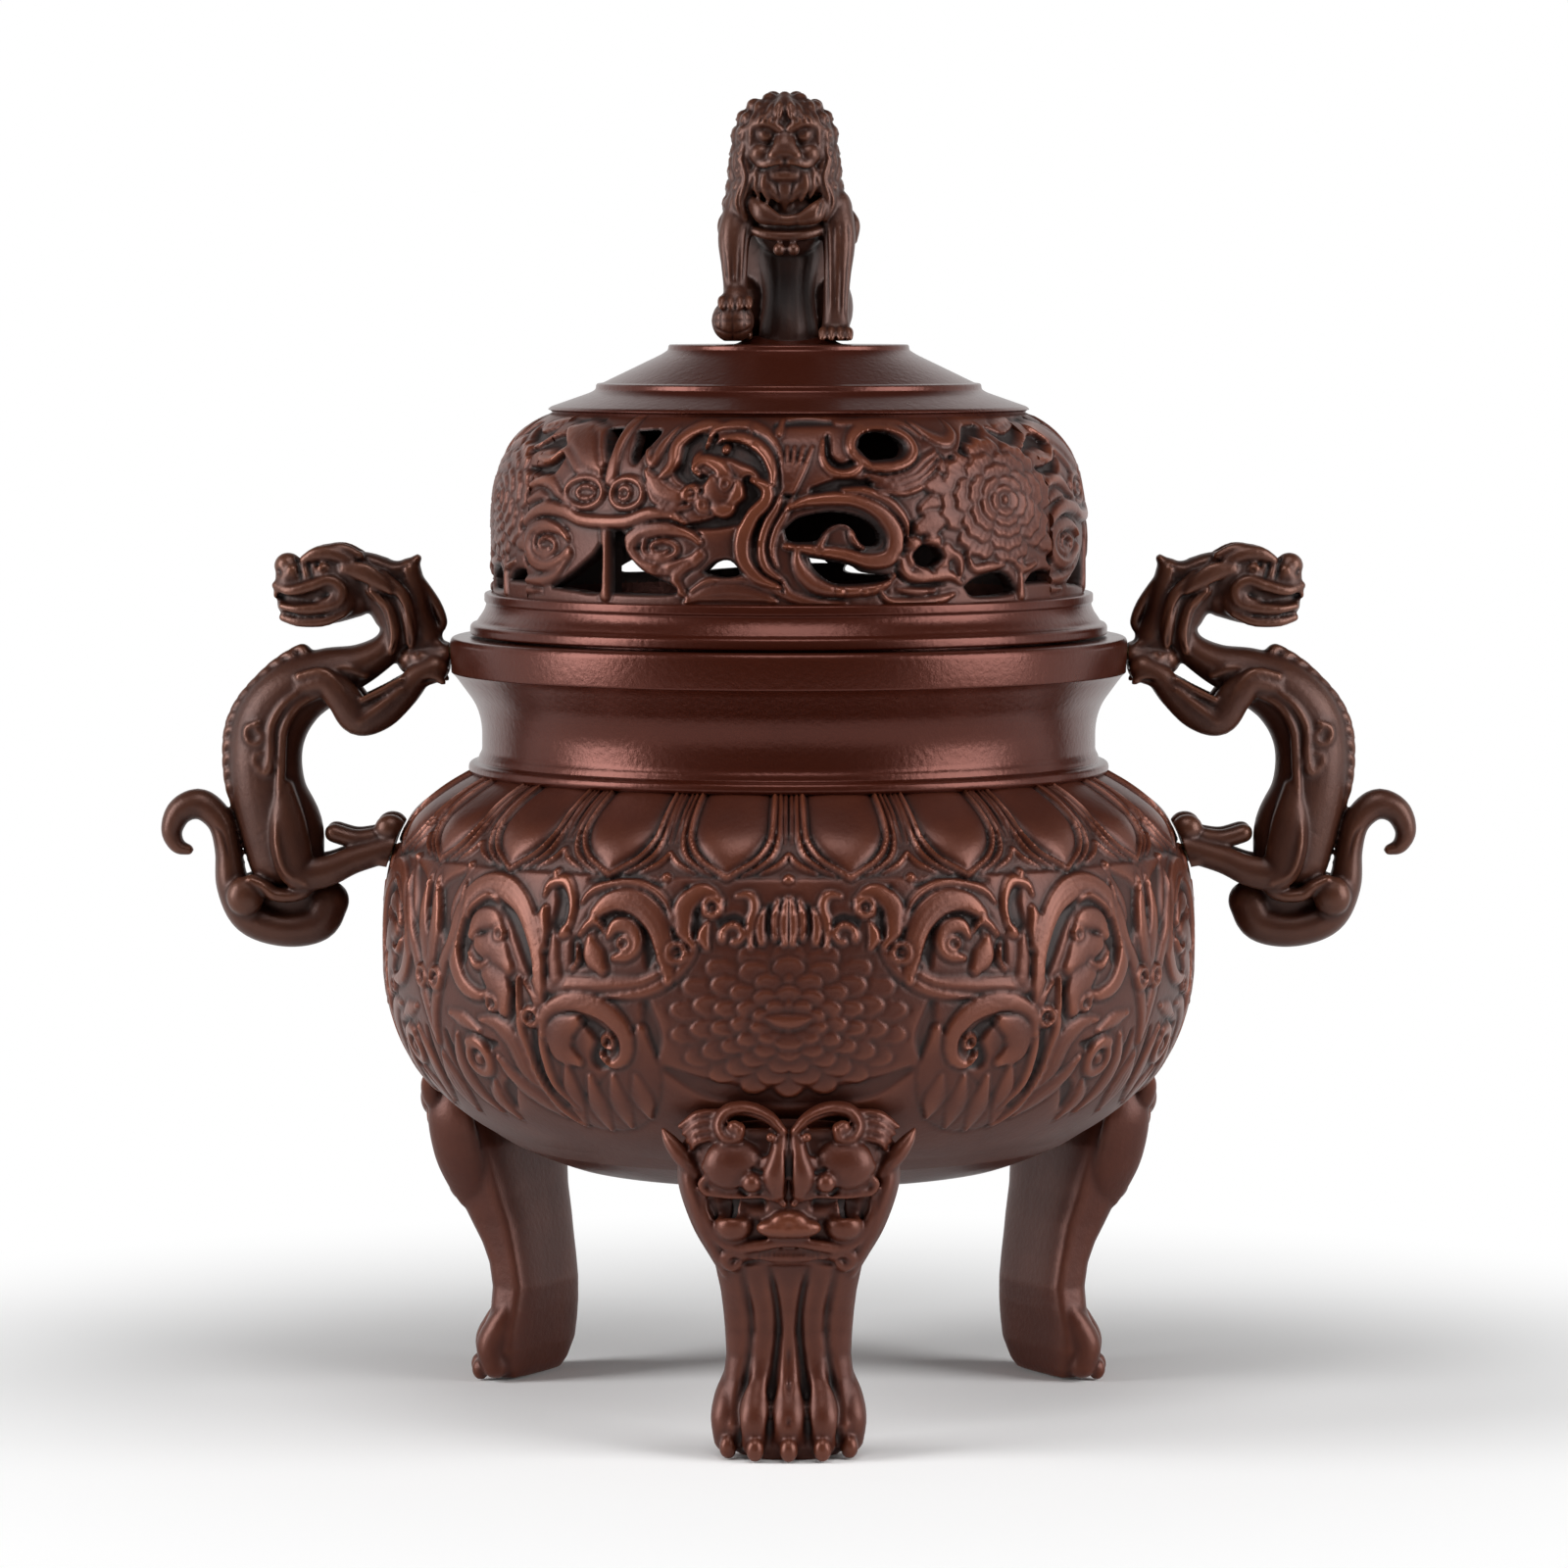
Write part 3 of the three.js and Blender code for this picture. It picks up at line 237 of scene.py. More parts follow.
# upper scroll: a broad leaf rolled over an eye
side.strap([(28.4, -0.4), (29.2, 6), (31.4, 13), (36.4, 17.6), (42.4, 18.2), (47, 15.2), (48.4, 12.6)],
           [1, 2.4, 3, 3.4, 3.2, 2.3, 1], 2, lip=0.25, veins=2)
side.strap([(27.4, 12.6), (29.6, 18.4), (35, 22.2), (42, 22.6), (48.6, 20.6), (51.6, 17)],
           [0.6, 1, 1.2, 1.3, 1.2, 0.5], 1.6)
side.strap([(43.8, 9.6), (41.6, 12.4), (38, 12), (36.6, 8.8), (38.6, 5.8), (42.4, 4.6)],
           [0.8, 2, 2.2, 2, 1.8, 0.8], 1.8, lip=0.2)
side.curl((39.6, 8.2), 1.4, 1.9, 0.7)
side.strap([(45.4, 2), (47.4, 5), (48.4, 8.8)], [1.8, 3.2, 1.4], 1.7, lip=0.15)
side.strap([(51.6, 9.6), (47.8, 13.4), (44.8, 10.8)], [0.6, 1.1, 0.6], 1.8)
side.curl((26.5, 6.5), 2, 2, 0.9)
# bud and its stem between the two scrolls
side.strap([(58.2, -1), (58.8, 4), (58.4, 8.6)], [2.2, 2, 1.4], 1.5, veins=2)
side.strap([(62, 6.4), (62.6, 11), (61.6, 15.6)], [1.6, 2.5, 1], 1.9, lip=0.2)
side.strap([(56.4, 9.6), (54.2, 13), (54, 18), (56.6, 22.4), (61, 21.6), (62.4, 18.4)],
           [1.4, 1.1, 1.4, 1.6, 1.4, 0.6], 1.7)
side.bead((55.6, 10.4), 1.7, 1.9)
side.strap([(53.6, 1.2), (51.8, 4), (52.4, 8)], [0.5, 0.9, 0.4], 1.5)
# second scroll, wider, with a leaf of three lobes in it
side.strap([(62.6, -9), (62.8, -2), (63.8, 6), (67.6, 14.6), (74.4, 19.6), (82, 19.6), (88.4, 15.4),
            (92, 8.6), (92.4, 1.4), (88.6, -4.6), (82.4, -6.6), (77.8, -4.6)],
            [1.2, 2, 2.3, 2.8, 3.2, 3.2, 2.9, 2.6, 2.5, 2.4, 1.8, 0.6], 2, lip=0.25, veins=2)
side.strap([(76.6, 16.4), (80.6, 17.4), (85.4, 14.6), (87.4, 11.4)], [0.5, 1, 1, 0.5], 2.1)
side.strap([(85.6, 7.6), (83, 11.2), (78.4, 11.6), (74.8, 8.6)], [1.6, 2.8, 3, 1.6], 1.7, lip=0.2)
side.strap([(82.4, 5.6), (77.4, 4.4), (73.2, 1)], [2.4, 4.8, 2.6], 1.8, lip=0.2)
side.strap([(79.6, -1), (75.6, -4.6), (74.6, -9)], [2.6, 4.2, 2.4], 1.75, lip=0.2)
side.strap([(86.6, 3.4), (83.6, 0.4), (79, 1.8)], [0.6, 1.2, 0.5], 1.9)
side.curl((78.4, -8.2), 1.6, 1.9, 0.8)
side.curl((75.6, 8.6), 1.4, 1.9, 0.7)
# flame stems at the middle of the next side
side.strap([(105, -20), (102.6, -11), (98.6, -2), (94.4, 5), (91, 13), (89.6, 21)],
           [1.6, 2, 2.2, 2, 1.5, 0.4], 1.7, veins=2)
side.strap([(105, -5), (103, 3), (101.4, 11), (102.6, 21)], [2.2, 2.6, 2.2, 0.4], 1.8, veins=2)
side.curl((101, -4), 2.2, 2, 1)
# third scroll, below: a hooked curl over a broad leaf
side.strap([(35.6, -12), (37.6, -24), (44, -33), (54, -37), (62, -37)], [1.4, 5.6, 7.6, 6.4, 2],
           1.3, lip=0.2, groove=0.4)
for foot, tip in (((38, -24), (37, -37)), ((44.4, -24.6), (44, -41)), ((51, -25), (51, -42.6)),
        ((57, -22), (58.6, -41))):
    side.strap([foot, ((foot[0] + tip[0]) / 2, (foot[1] + tip[1]) / 2), tip], [1, 3, 0.6],
               1.55, lip=0.15, groove=0.35)
side.strap([(69.4, -1.4), (69.4, -9), (69.2, -17), (67.8, -26), (64.4, -34.6), (58.4, -41.6)],
           [0.7, 1.3, 1.7, 1.7, 1.5, 0.5], 1.8, lip=0.1)
side.strap([(67.6, -2), (64.4, -6), (63, -12), (63.4, -20), (62.4, -28), (58, -35)],
           [0.6, 1.3, 1.5, 1.4, 1.3, 0.5], 1.7)
side.curl((65.8, -10.6), 2, 2, 0.9)
side.strap([(62.4, -14.6), (61, -9.4), (56, -6.6), (49.6, -6.4), (43.6, -8.6), (39.8, -13.4), (40.2, -18.8),
            (44, -21.2), (47.2, -18.6)], [1, 1.9, 2.3, 2.6, 2.7, 2.5, 2, 1.4, 0.6], 2, lip=0.25, veins=2)
side.strap([(52.6, -10.6), (57, -13.4), (57.6, -18), (53.4, -21)], [1.8, 3.8, 3.8, 1.6], 1.75, lip=0.2)
side.curl((44.4, -15.4), 1.5, 1.9, 0.8)
# leaves of the lower border
side.strap([(84, -12.6), (77.4, -13.4), (72.4, -18), (70.4, -26), (66.6, -34)], [0.6, 2.4, 3, 2.4, 0.6],
           1.6, veins=2)
side.strap([(96, -12), (90, -13.4), (84, -15.6)], [0.8, 2.2, 0.6], 1.6, veins=2)
side.strap(coil((87.4, -23), 4.4, 3.4, 60, 400), [1.9, 1.6], 1.8, lip=0.1)
side.bead((87.2, -23.2), 2, 1.7)
side.strap([(79.6, -22), (76, -27), (70.6, -32), (64, -38.6)], [1, 2.6, 2.8, 0.6], 1.6, veins=2)
side.strap([(84.6, -29.4), (87, -35.4), (84, -42)], [1, 2.8, 0.6], 1.5, veins=2)
side.strap([(94, -17), (96, -25), (94.6, -33), (90, -40)], [0.8, 2.6, 2.8, 0.6], 1.6, veins=2)
side.strap([(105, -24), (103.4, -32), (105, -42)], [1.6, 3.4, 0.6], 1.6, veins=2)
# lappets of the shoulder: a domed heart, point down, in two outlines, and lines and a bead in each gap
lappet_foot = 24.9
across, up = np.meshgrid(side.across, side.up)
off = np.abs((across + 1e-6) % (2 * lappet) - lappet)
side.height = np.where(up > lappet_foot - 0.5, 0.4, side.height)
wide = np.interp(up, [lappet_foot, 26, 28, 30, 33, 37, 42, 53], [0.2, 1.4, 4.0, 6.2, 8.2, 9.5, 10.0, 9.4])
dome = np.clip(1 - (off / wide) ** 2, 0, 1) ** 0.5 * (0.35 + 0.65 * np.exp(-(((up - 32.5) / 7) ** 2)))
side.height += 1.7 * dome * (up > lappet_foot)
outlines = (([(0, 24.3), (3.4, 26.6), (7, 29.2), (9.6, 33), (10.8, 38), (11, 53)],
             [0.75, 0.8, 0.8, 0.8, 0.7], 1.9, 0.4),
            ([(3.6, 25), (7.6, 27.2), (11, 30.4), (12.4, 35), (12.7, 40), (12.6, 53)],
             [0.4, 0.7, 0.7, 0.7, 0.65], 1.7, 0.35))
gap_lines = (([(0.9, 53), (0.9, 40), (0.9, 33.6)], [0.55, 0.6, 0.3], 1.6, 0.35),
             ([(0, 31), (2.4, 28), (7.2, 25.4)], [0.6, 0.7, 0.3], 1.5, 0.3))
for first, lines in ((lappet, outlines), (0, gap_lines)):
    for middle in np.arange(first, 106, 2 * lappet):
        for way in (-1, 1):
            for line, widths, height, groove in lines:
                side.strap([(middle + way * x, v) for x, v in line], widths, height, groove)
        if lines is gap_lines:
            side.bead((middle, 24.4), 1.3, 1.7)


def belly_point(v):
    """Radius, height and outward direction of the belly at arc length v above its widest ring. Below
    the ring the profile is a superellipse of power 2.5 that ends on the axis, above it one of power 3."""
    up = np.linspace(0, 1, 4001)
    drop = up**0.8
    low_r = belly_radius * (1 - np.clip(drop, 0, 1) ** lower_power) ** (1 / lower_power)
    low_z = belly_wide_at - (belly_wide_at - base_height) * drop
    high_r = belly_radius * (1 - 0.35 * up**2)
    inward = np.clip(1 - (high_r / belly_radius) ** upper_power, 0, 1)
    high_z = belly_wide_at + belly_rise * inward ** (1 / upper_power)
    r = np.concatenate([low_r[::-1], high_r[1:]])
    z = np.concatenate([low_z[::-1], high_z[1:]])
    run = along(np.column_stack([r, z]))
    run -= run[len(up) - 1]
    slope_r, slope_z = (np.interp(v + 0.5, run, s) - np.interp(v - 0.5, run, s) for s in (r, z))
    length = np.hypot(slope_r, slope_z)
    return np.interp(v, run, r), np.interp(v, run, z), slope_z / length, -slope_r / length


def shell(outer, inner, every):
    """Closed shell from two grids of points (rows, columns, 3): the outer one fine, the inner one
    holding a point for every so-many-th row and column. Walls of triangles join their borders."""
    def squares(grid):
        corners = (grid[:-1, :-1], grid[:-1, 1:], grid[1:, 1:], grid[1:, :-1])
        return np.column_stack([corner.ravel() for corner in corners])
    grid = np.arange(outer.size // 3).reshape(outer.shape[:2])
    few = grid.size + np.arange(inner.size // 3).reshape(inner.shape[:2])
    walls = []
    for fine, coarse in ((grid[0], few[0]), (grid[:, -1], few[:, -1]),
                         (grid[-1, ::-1], few[-1, ::-1]), (grid[::-1, 0], few[::-1, 0])):
        k = np.arange(len(fine) - 1)
        walls.append(np.column_stack([fine[k + 1], fine[k], coarse[(k + every // 2) // every]]))
        j = np.arange(len(coarse) - 1)
        walls.append(np.column_stack([fine[every * j + every - every // 2], coarse[j], coarse[j + 1]]))
    points = np.vstack([outer.reshape(-1, 3), inner.reshape(-1, 3)])
    return points, [np.vstack([squares(grid), squares(few)[:, ::-1]]), np.vstack(walls)]


def wrapped(profile, turns, lift, wall, every):
    """Shell of a relief round the axis. The profile gives radius, height and outward direction row by
    row, turns the angle of each column. The outside stands out by lift, the inside is sunk by wall."""
    grids = []
    for step, push in ((1, lift), (every, np.full_like(lift, -wall))):
        r, z, out_r, out_z = (np.broadcast_to(part, len(lift))[::step, None] for part in profile)
        push, around = push[::step, ::step], turns[::step]
        radius = r + out_r * push
        grids.append(np.dstack([radius * np.sin(around), -radius * np.cos(around), z + out_z * push]))
    return shell(*grids, every)


def linear(code):
    """Scene-linear colour from an sRGB hex code."""
    parts = [int(code[k:k + 2], 16) / 255 for k in (1, 3, 5)]
    return tuple(c / 12.92 if c <= 0.04045 else ((c + 0.055) / 1.055) ** 2.4 for c in parts) + (1.0,)


def add(tree, kind, inputs={}, **settings):
    """Adds a shader node: settings set its properties, each input gets a value or a link from an output."""
    node = tree.nodes.new("ShaderNode" + kind)
    for name, value in settings.items():
        setattr(node, name, value)
    for name, value in inputs.items():
        if isinstance(value, bpy.types.NodeSocket):
            tree.links.new(value, node.inputs[name])
        else:
            node.inputs[name].default_value = value
    return node


def patina(name, hollow, skin, rubbed, dull=0.55, keen=0.3, metallic=0.4):
    """Copper alloy under brown patina: the Raised attribute leads from the hollows' colour and the dull
    roughness through the skin's colour to the rubbed one and the keen roughness. Clouds some 12 mm wide
    shift it. Pits of 1.4 mm, drawn coarser than real ones so that they show, and a casting grain of
    0.4 mm break the gloss. The patina hides most of the metal, so metallic stays low."""
    material = bpy.data.materials.new(name)
    material.use_nodes = True
    tree = material.node_tree
    tree.nodes.clear()
    place = add(tree, "TexCoord").outputs["Object"]
    height = add(tree, "Attribute", attribute_name="Raised").outputs["Fac"]
    def noise(in_a_metre, detail, rough=0.5):
        return add(tree, "TexNoise", {"Vector": place, "Scale": in_a_metre, "Detail": detail,
                                      "Roughness": rough}).outputs["Fac"]
    clouds, grain, pits = noise(85.0, 4.0, 0.6), noise(2500.0, 2.0), noise(700.0, 3.0)
    shifted = add(tree, "MixRGB", {"Fac": 0.22, "Color1": height, "Color2": clouds}).outputs["Color"]
    ramp = add(tree, "ValToRGB", {"Fac": shifted})
    stops = ramp.color_ramp.elements
    stops[0].position, stops[0].color = 0.12, linear(hollow)
    stops[1].position, stops[1].color = 0.92, linear(rubbed)
    middle = stops.new(0.5)
    middle.color = linear(skin)
    gloss = {"Value": shifted, "From Min": 0.1, "From Max": 0.9, "To Min": dull, "To Max": keen}
    rough = add(tree, "MapRange", gloss).outputs["Result"]
    fine = add(tree, "Bump", {"Height": grain, "Strength": 0.10, "Distance": 0.0002}).outputs["Normal"]
    both = add(tree, "Bump", {"Height": pits, "Strength": 0.16, "Distance": 0.0005,
        "Normal": fine}).outputs["Normal"]
    shader = add(tree, "BsdfPrincipled", {"Base Color": ramp.outputs["Color"], "Metallic": metallic,
                                          "Roughness": rough, "Normal": both})
    tree.links.new(shader.outputs["BSDF"], add(tree, "OutputMaterial").inputs["Surface"])
    return material


def piece(name, vertices, faces, body, node, finish, raised=None, flat_angle=40):
    """A mesh object in metres from vertices in mm: smooth, with sharp edges where faces turn by more
    than flat_angle degrees. It rides on the body and stands for the CAD node."""
    mesh = bpy.data.meshes.new(name)
    loops = np.concatenate([f.ravel() for f in faces]).astype(np.int32)
    counts = np.concatenate([np.full(len(f), f.shape[1]) for f in faces])
    mesh.vertices.add(len(vertices))
    mesh.vertices.foreach_set("co", (np.asarray(vertices) * 0.001).ravel())
    mesh.loops.add(len(loops))
    mesh.loops.foreach_set("vertex_index", loops)
    mesh.polygons.add(len(counts))
    mesh.polygons.foreach_set("loop_start", np.concatenate([[0], np.cumsum(counts)[:-1]]).astype(np.int32))
    mesh.update(calc_edges=True)
    if raised is not None:
        mesh.attributes.new("Raised", "FLOAT", "POINT").data.foreach_set("value", raised)
    mesh.set_sharp_from_angle(angle=np.radians(flat_angle))
    mesh.materials.append(finish)
    thing = bpy.data.objects.new(name, mesh)
    bpy.context.scene.collection.objects.link(thing)
    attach(thing, body)
    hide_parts(node)
    return thing


side.height = side.softened(1)
height, body = (np.hstack([h[:, :0:-1], h]) for h in (side.height, side.softened(40)))
raised = np.clip(0.5 + (height - body) / 1.3, 0, 1)
fade = np.interp(side.up, [lower_end, lower_end + 6], [0, 1])[:, None]
lift = (height - mid_level) * fade + (mid_level - top_level)
angle = np.concatenate([-side.across[:0:-1], side.across]) / belly_radius
# cast metal under a red-brown patina: dark in the hollows, a warm satin brown on the leaves
bronze = patina("red_brown_patina_on_bronze", "#1a0906", "#471d0f", "#713c28")
for number, turn in enumerate((0, 120, 240), 1):
    points, faces = wrapped(belly_point(side.up), angle + np.radians(turn), lift, belly_wall, 7)
    tone = np.concatenate([raised.ravel(), np.full(len(points) - raised.size, 0.4)])
    piece(f"bowl_belly_{number}", points, faces, "vessel", "bowl", bronze, tone)

# Bowl: the base, the neck and the rim.
# The same casting, turned smooth in the wax: a plain round underside, a cord at the foot of the neck,
# a hollow neck that flares out, and a deep plain rim band whose top the lid sits on.
rim_top = bowl_high[2]
collar_at = belly_point(np.array([shoulder_end]))[1][0]
neck_radius = 0.7525 * belly_radius
flare_radius = 0.8185 * belly_radius
rim_radius = 0.831 * belly_radius
mouth_radius = neck_radius - 4
# arc length from the widest ring down to just beside the middle of the underside
underside = -77.5


def rounded(corners):
    """Profile through corners (radius, height, fillet): each fillet is a quadratic curve that starts and
    ends that far from its corner. A corner with no fillet stays sharp."""
    path = []
    for k, (r, z, fillet) in enumerate(corners):
        here = np.array([r, z])
        if fillet == 0:
            path.append(here)
            continue
        back = np.array(corners[k - 1][:2]) - here
        ahead = np.array(corners[(k + 1) % len(corners)][:2]) - here
        start = here + fillet * back / np.hypot(*back)
        end = here + fillet * ahead / np.hypot(*ahead)
        for t in np.linspace(0, 1, 6):
            path.append((1 - t) ** 2 * start + 2 * t * (1 - t) * here + t**2 * end)
    return np.array(path)


def turned(name, profile, body, node, raised=0.62, segments=240):
    """A waxed solid of revolution from a profile that goes up its outside and back down its inside, or
    from the axis round to the axis again. A profile point on the axis becomes one pole."""
    angle = np.arange(segments) * 2 * np.pi / segments
    points, rows, count = [], [], 0
    for r, z in profile:
        around = angle[:1] if r < 1e-6 else angle
        points.append(np.column_stack([r * np.sin(around), -r * np.cos(around), np.full(len(around), z)]))
        rows.append(np.broadcast_to(count + np.arange(len(around)), segments))
        count += len(around)
    last = len(rows) if profile[0][0] > 1e-6 else len(rows) - 1
    quads, tips = [], []
    for k in range(last):
        low, high = rows[k], rows[(k + 1) % len(rows)]
        if low[0] == low[1]:
            tips.append(np.column_stack([low, np.roll(high, -1), high]))
        elif high[0] == high[1]:
            tips.append(np.column_stack([low, np.roll(low, -1), high]))
        else:
            quads.append(np.column_stack([low, np.roll(low, -1), np.roll(high, -1), high]))
    faces = [np.vstack(quads)] + ([np.vstack(tips)] if tips else [])
    piece(name, np.vstack(points), faces, body, node, waxed, np.full(count, raised))


# the same metal turned, burnished and waxed: of one colour, glossier and more metallic than the relief
waxed = patina("waxed_red_brown_patina_on_bronze", "#2a0d07", "#471a0d", "#562415", 0.34, 0.24, 0.55)
turned("bowl_neck", rounded([
    (neck_radius + 1.5, collar_at - 1.6, 0), (neck_radius + 3.4, collar_at - 0.6, 0.9),
    (neck_radius + 3.2, collar_at + 1.4, 0.9), (neck_radius + 1.0, collar_at + 1.9, 0.4),
    (neck_radius + 0.7, collar_at + 3.2, 0.5), (neck_radius, collar_at + 4.4, 0.8),
    (neck_radius, rim_top - 21, 3), (neck_radius + 1.6, rim_top - 16.4, 2),
    (flare_radius, rim_top - 9.6, 1.2), (belly_radius * 0.8275, rim_top - 8.8, 0.5),
    (rim_radius, rim_top - 1.2, 0.8), (belly_radius * 0.824, rim_top - 0.25, 0.6),
    (mouth_radius, rim_top - 0.25, 0.7), (mouth_radius, collar_at + 1, 1),
    (neck_radius - 1, collar_at - 2.6, 0)]), "vessel", "bowl")

under = np.linspace(underside, lower_end, 14)
r, z, out_r, out_z = belly_point(under)
sunk = np.interp(under, [underside, lower_end], [0, mid_level - top_level])
skin = np.column_stack([r + out_r * sunk, z + out_z * sunk])
skin[0] = 0, base_height
lining = np.column_stack([r - out_r * belly_wall, z - out_z * belly_wall])[::-1]
lining = np.vstack([lining[lining[:, 0] > 4], [0, base_height + belly_wall]])
turned("bowl_base", np.vstack([skin, lining]), "vessel", "bowl", 0.5)

# Legs: three, alike.
# Each is one casting, held to the belly by a screw from inside: a curved slab with a flat back, ribbed
# like a lion's shin down to five clawed toes, under the open-mouthed mask of a beast.
# the gap between each cast piece and the bowl that carries it
seat_gap = 0.3


class Wax:
    """Overlapping closed lumps in mm, gathered so that they can be melted into one skin."""

    def __init__(self, mirrored):
        self.points, self.faces, self.count = [], [], 0
        self.flip = np.where(np.arange(3) == "xyz".index(mirrored), -1, 1)

    def rings(self, rings):
        """Adds one lump from a stack of rings with equal numbers of points, capped at both ends."""
        rings = np.asarray(rings)
        high, wide = rings.shape[:2]
        grid = self.count + np.arange(high * wide).reshape(high, wide)
        a, b = (g[:-1].ravel() for g in (grid, np.roll(grid, -1, 1)))
        self.faces += np.column_stack([a, b, b + wide, a + wide]).tolist()
        self.faces += [grid[0, ::-1].tolist(), grid[-1].tolist()]
        self.points.append(rings.reshape(-1, 3))
        self.count += high * wide

    def tube(self, stops, side=(0, 1, 0), around=20):
        """A limb: ellipses along the smooth curve through stops (x, y, z, half-size in the curve's
        plane, half-size across it), with a dome cos/sin at each end. side is the way across."""
        path = smooth_path(stops, 6)
        centre, a, b = path[:, :3], np.maximum(path[:, 3], 0.15), np.maximum(path[:, 4], 0.15)
        tangent = np.gradient(centre, axis=0)
        tangent /= np.linalg.norm(tangent, axis=1, keepdims=True)
        across = np.array(side, float) - tangent * (tangent @ np.array(side, float))[:, None]
        across /= np.linalg.norm(across, axis=1, keepdims=True)
        normal = np.cross(across, tangent)
        dome = np.radians([80, 60, 40, 20])
        last = len(centre) - 1
        index = np.concatenate([[0] * 4, np.arange(last + 1), [last] * 4])
        shrink = np.concatenate([np.cos(dome), np.ones(last + 1), np.cos(dome[::-1])])
        push = np.concatenate([-np.sin(dome), np.zeros(last + 1), np.sin(dome[::-1])]) * np.minimum(a,
            b)[index]
        turn = np.linspace(0, 2 * np.pi, around, endpoint=False)
        place = (centre[index] + tangent[index] * push[:, None])[:, None]
        in_plane = normal[index, None] * (a[index] * shrink)[:, None, None] * np.cos(turn)[None, :, None]
        sideways = across[index, None] * (b[index] * shrink)[:, None, None] * np.sin(turn)[None, :, None]
        self.rings(place + in_plane + sideways)

    def ball(self, centre, halves):
        """An ellipsoid with these half-sizes."""
        up = np.radians([-84, -66, -48, -32, -16, 0, 16, 32, 48, 66, 84])[:, None]
        turn = np.linspace(0, 2 * np.pi, 20, endpoint=False)
        unit = np.dstack([np.cos(up) * np.cos(turn), np.cos(up) * np.sin(turn), np.sin(up) * np.ones(20)])
        self.rings(unit * np.array(halves, float) + np.array(centre, float))

    def balls(self, centre, halves):
        """A ball and its mirror image."""
        self.ball(centre, halves)
        self.ball(np.array(centre) * self.flip, halves)

    def tubes(self, stops, **more):
        """A tube and its mirror image."""
        self.tube(stops, **more)
        self.tube([(*(np.array(s[:3]) * self.flip), *s[3:]) for s in stops], **more)

    def take(self, other, shift):
        """Adds all the lumps of another wax, moved by shift."""
        self.points += [lump + shift for lump in other.points]
        self.faces += [[self.count + k for k in face] for face in other.faces]
        self.count += other.count

    def melted(self, voxel):
        """One skin round all the lumps, from a voxel remesh with voxels of that size."""
        mesh = bpy.data.meshes.new("wax")
        mesh.from_pydata(np.vstack(self.points), [], self.faces)
        lump = bpy.data.objects.new("wax", mesh)
        bpy.context.scene.collection.objects.link(lump)
        melt = lump.modifiers.new("melt", "REMESH")
        melt.mode, melt.voxel_size = "VOXEL", voxel
        bpy.context.view_layer.update()
        skin = bpy.data.meshes.new_from_object(lump.evaluated_get(bpy.context.evaluated_depsgraph_get()))
        bpy.data.objects.remove(lump)
        return Skin(skin, self.flip)


def read(items, name, width, kind=np.int32):
    """A column of a mesh's data, such as the places of its points, with so many numbers in a row."""
    values = np.empty(len(items) * width, kind)
    items.foreach_get(name, values)
    return values.reshape(-1, width)


class Skin:
    """A melted skin: its points in mm, its edges and its quads."""

    def __init__(self, mesh, flip):
        self.p = read(mesh.vertices, "co", 3, float)
        self.edges = read(mesh.edges, "vertices", 2)
        self.quads = read(mesh.loops, "vertex_index", 1).reshape(-1, 4)
        self.degree = np.bincount(self.edges.ravel(), minlength=len(self.p))
        self.strokes, self.flip = [], flip
        bpy.data.meshes.remove(mesh)

    def smoothed(self, passes):
        """The points, each moved half of the way to the mean of its neighbours, so many times."""
        v = np.array(self.p)
        a, b = self.edges.T
        for _ in range(passes):
            total = [np.bincount(a, v[b, k], len(v)) + np.bincount(b, v[a, k], len(v)) for k in range(3)]
            v += 0.5 * (np.column_stack(total) / self.degree[:, None] - v)
        return v

    def relax(self, passes):
        self.p = self.smoothed(passes)

    def normals(self):
        """Unit normals at the points: the summed cross products of the diagonals of the quads."""
        q = self.p[self.quads]
        face = np.cross(q[:, 2] - q[:, 0], q[:, 3] - q[:, 1])
        corners = self.quads.ravel()
        n = np.column_stack([np.bincount(corners, np.repeat(face[:, k], 4), len(self.p)) for k in range(3)])
        return n / np.maximum(np.linalg.norm(n, axis=1, keepdims=True), 1e-12)

    def draw(self, points, width, depth):
        """Marks a line to incise along a smooth curve through points; its depth is negative for a cut."""
        self.strokes.append((points, width, depth))

    def draw_both(self, points, width, depth, shift=(0, 0, 0)):
        """Marks a line and its mirror image, then moves both by shift."""
        for flip in (1, self.flip):
            self.draw(np.array(points) * flip + shift, width, depth)

    def incise(self):
        """Cuts or lays the lines that were drawn: each moves the skin along its normals by depth
        exp(-(d / width)^2) at distance d from its curve, and fades to a quarter over its last tenth."""
        n = self.normals()
        move = np.zeros(len(self.p))
        for points, width, depth in self.strokes:
            line = smooth_path(points, 5)
            low, high = line.min(0) - 3 * width, line.max(0) + 3 * width
            near = np.flatnonzero(np.all((self.p > low) & (self.p < high), axis=1))
            if not len(near):
                continue
            best, share = np.full(len(near), 1e9), np.zeros(len(near))
            for k, (a, b) in enumerate(zip(line, line[1:])):
                step, off = b - a, self.p[near] - a
                t = np.clip(off @ step / (step @ step + 1e-12), 0, 1)
                far = np.linalg.norm(off - t[:, None] * step, axis=1)
                share = np.where(far < best, (k + t) / (len(line) - 1), share)
                best = np.minimum(best, far)
            fade = np.clip(np.minimum(share, 1 - share) * 8 + 0.25, 0, 1)
            stroke = depth * np.exp(-((best / width) ** 2)) * fade
            move[near] += np.where(np.abs(stroke) > np.abs(move[near]), stroke - move[near], 0)
        self.p += n * move[:, None]

    def tone(self, passes=22, depth=0.9):
        """0 in hollows and 1 on ridges: how far each point stands out of a smoothed copy of the skin."""
        out = np.sum((self.p - self.smoothed(passes)) * self.normals(), axis=1)
        return np.clip(0.5 + out / depth, 0, 1)


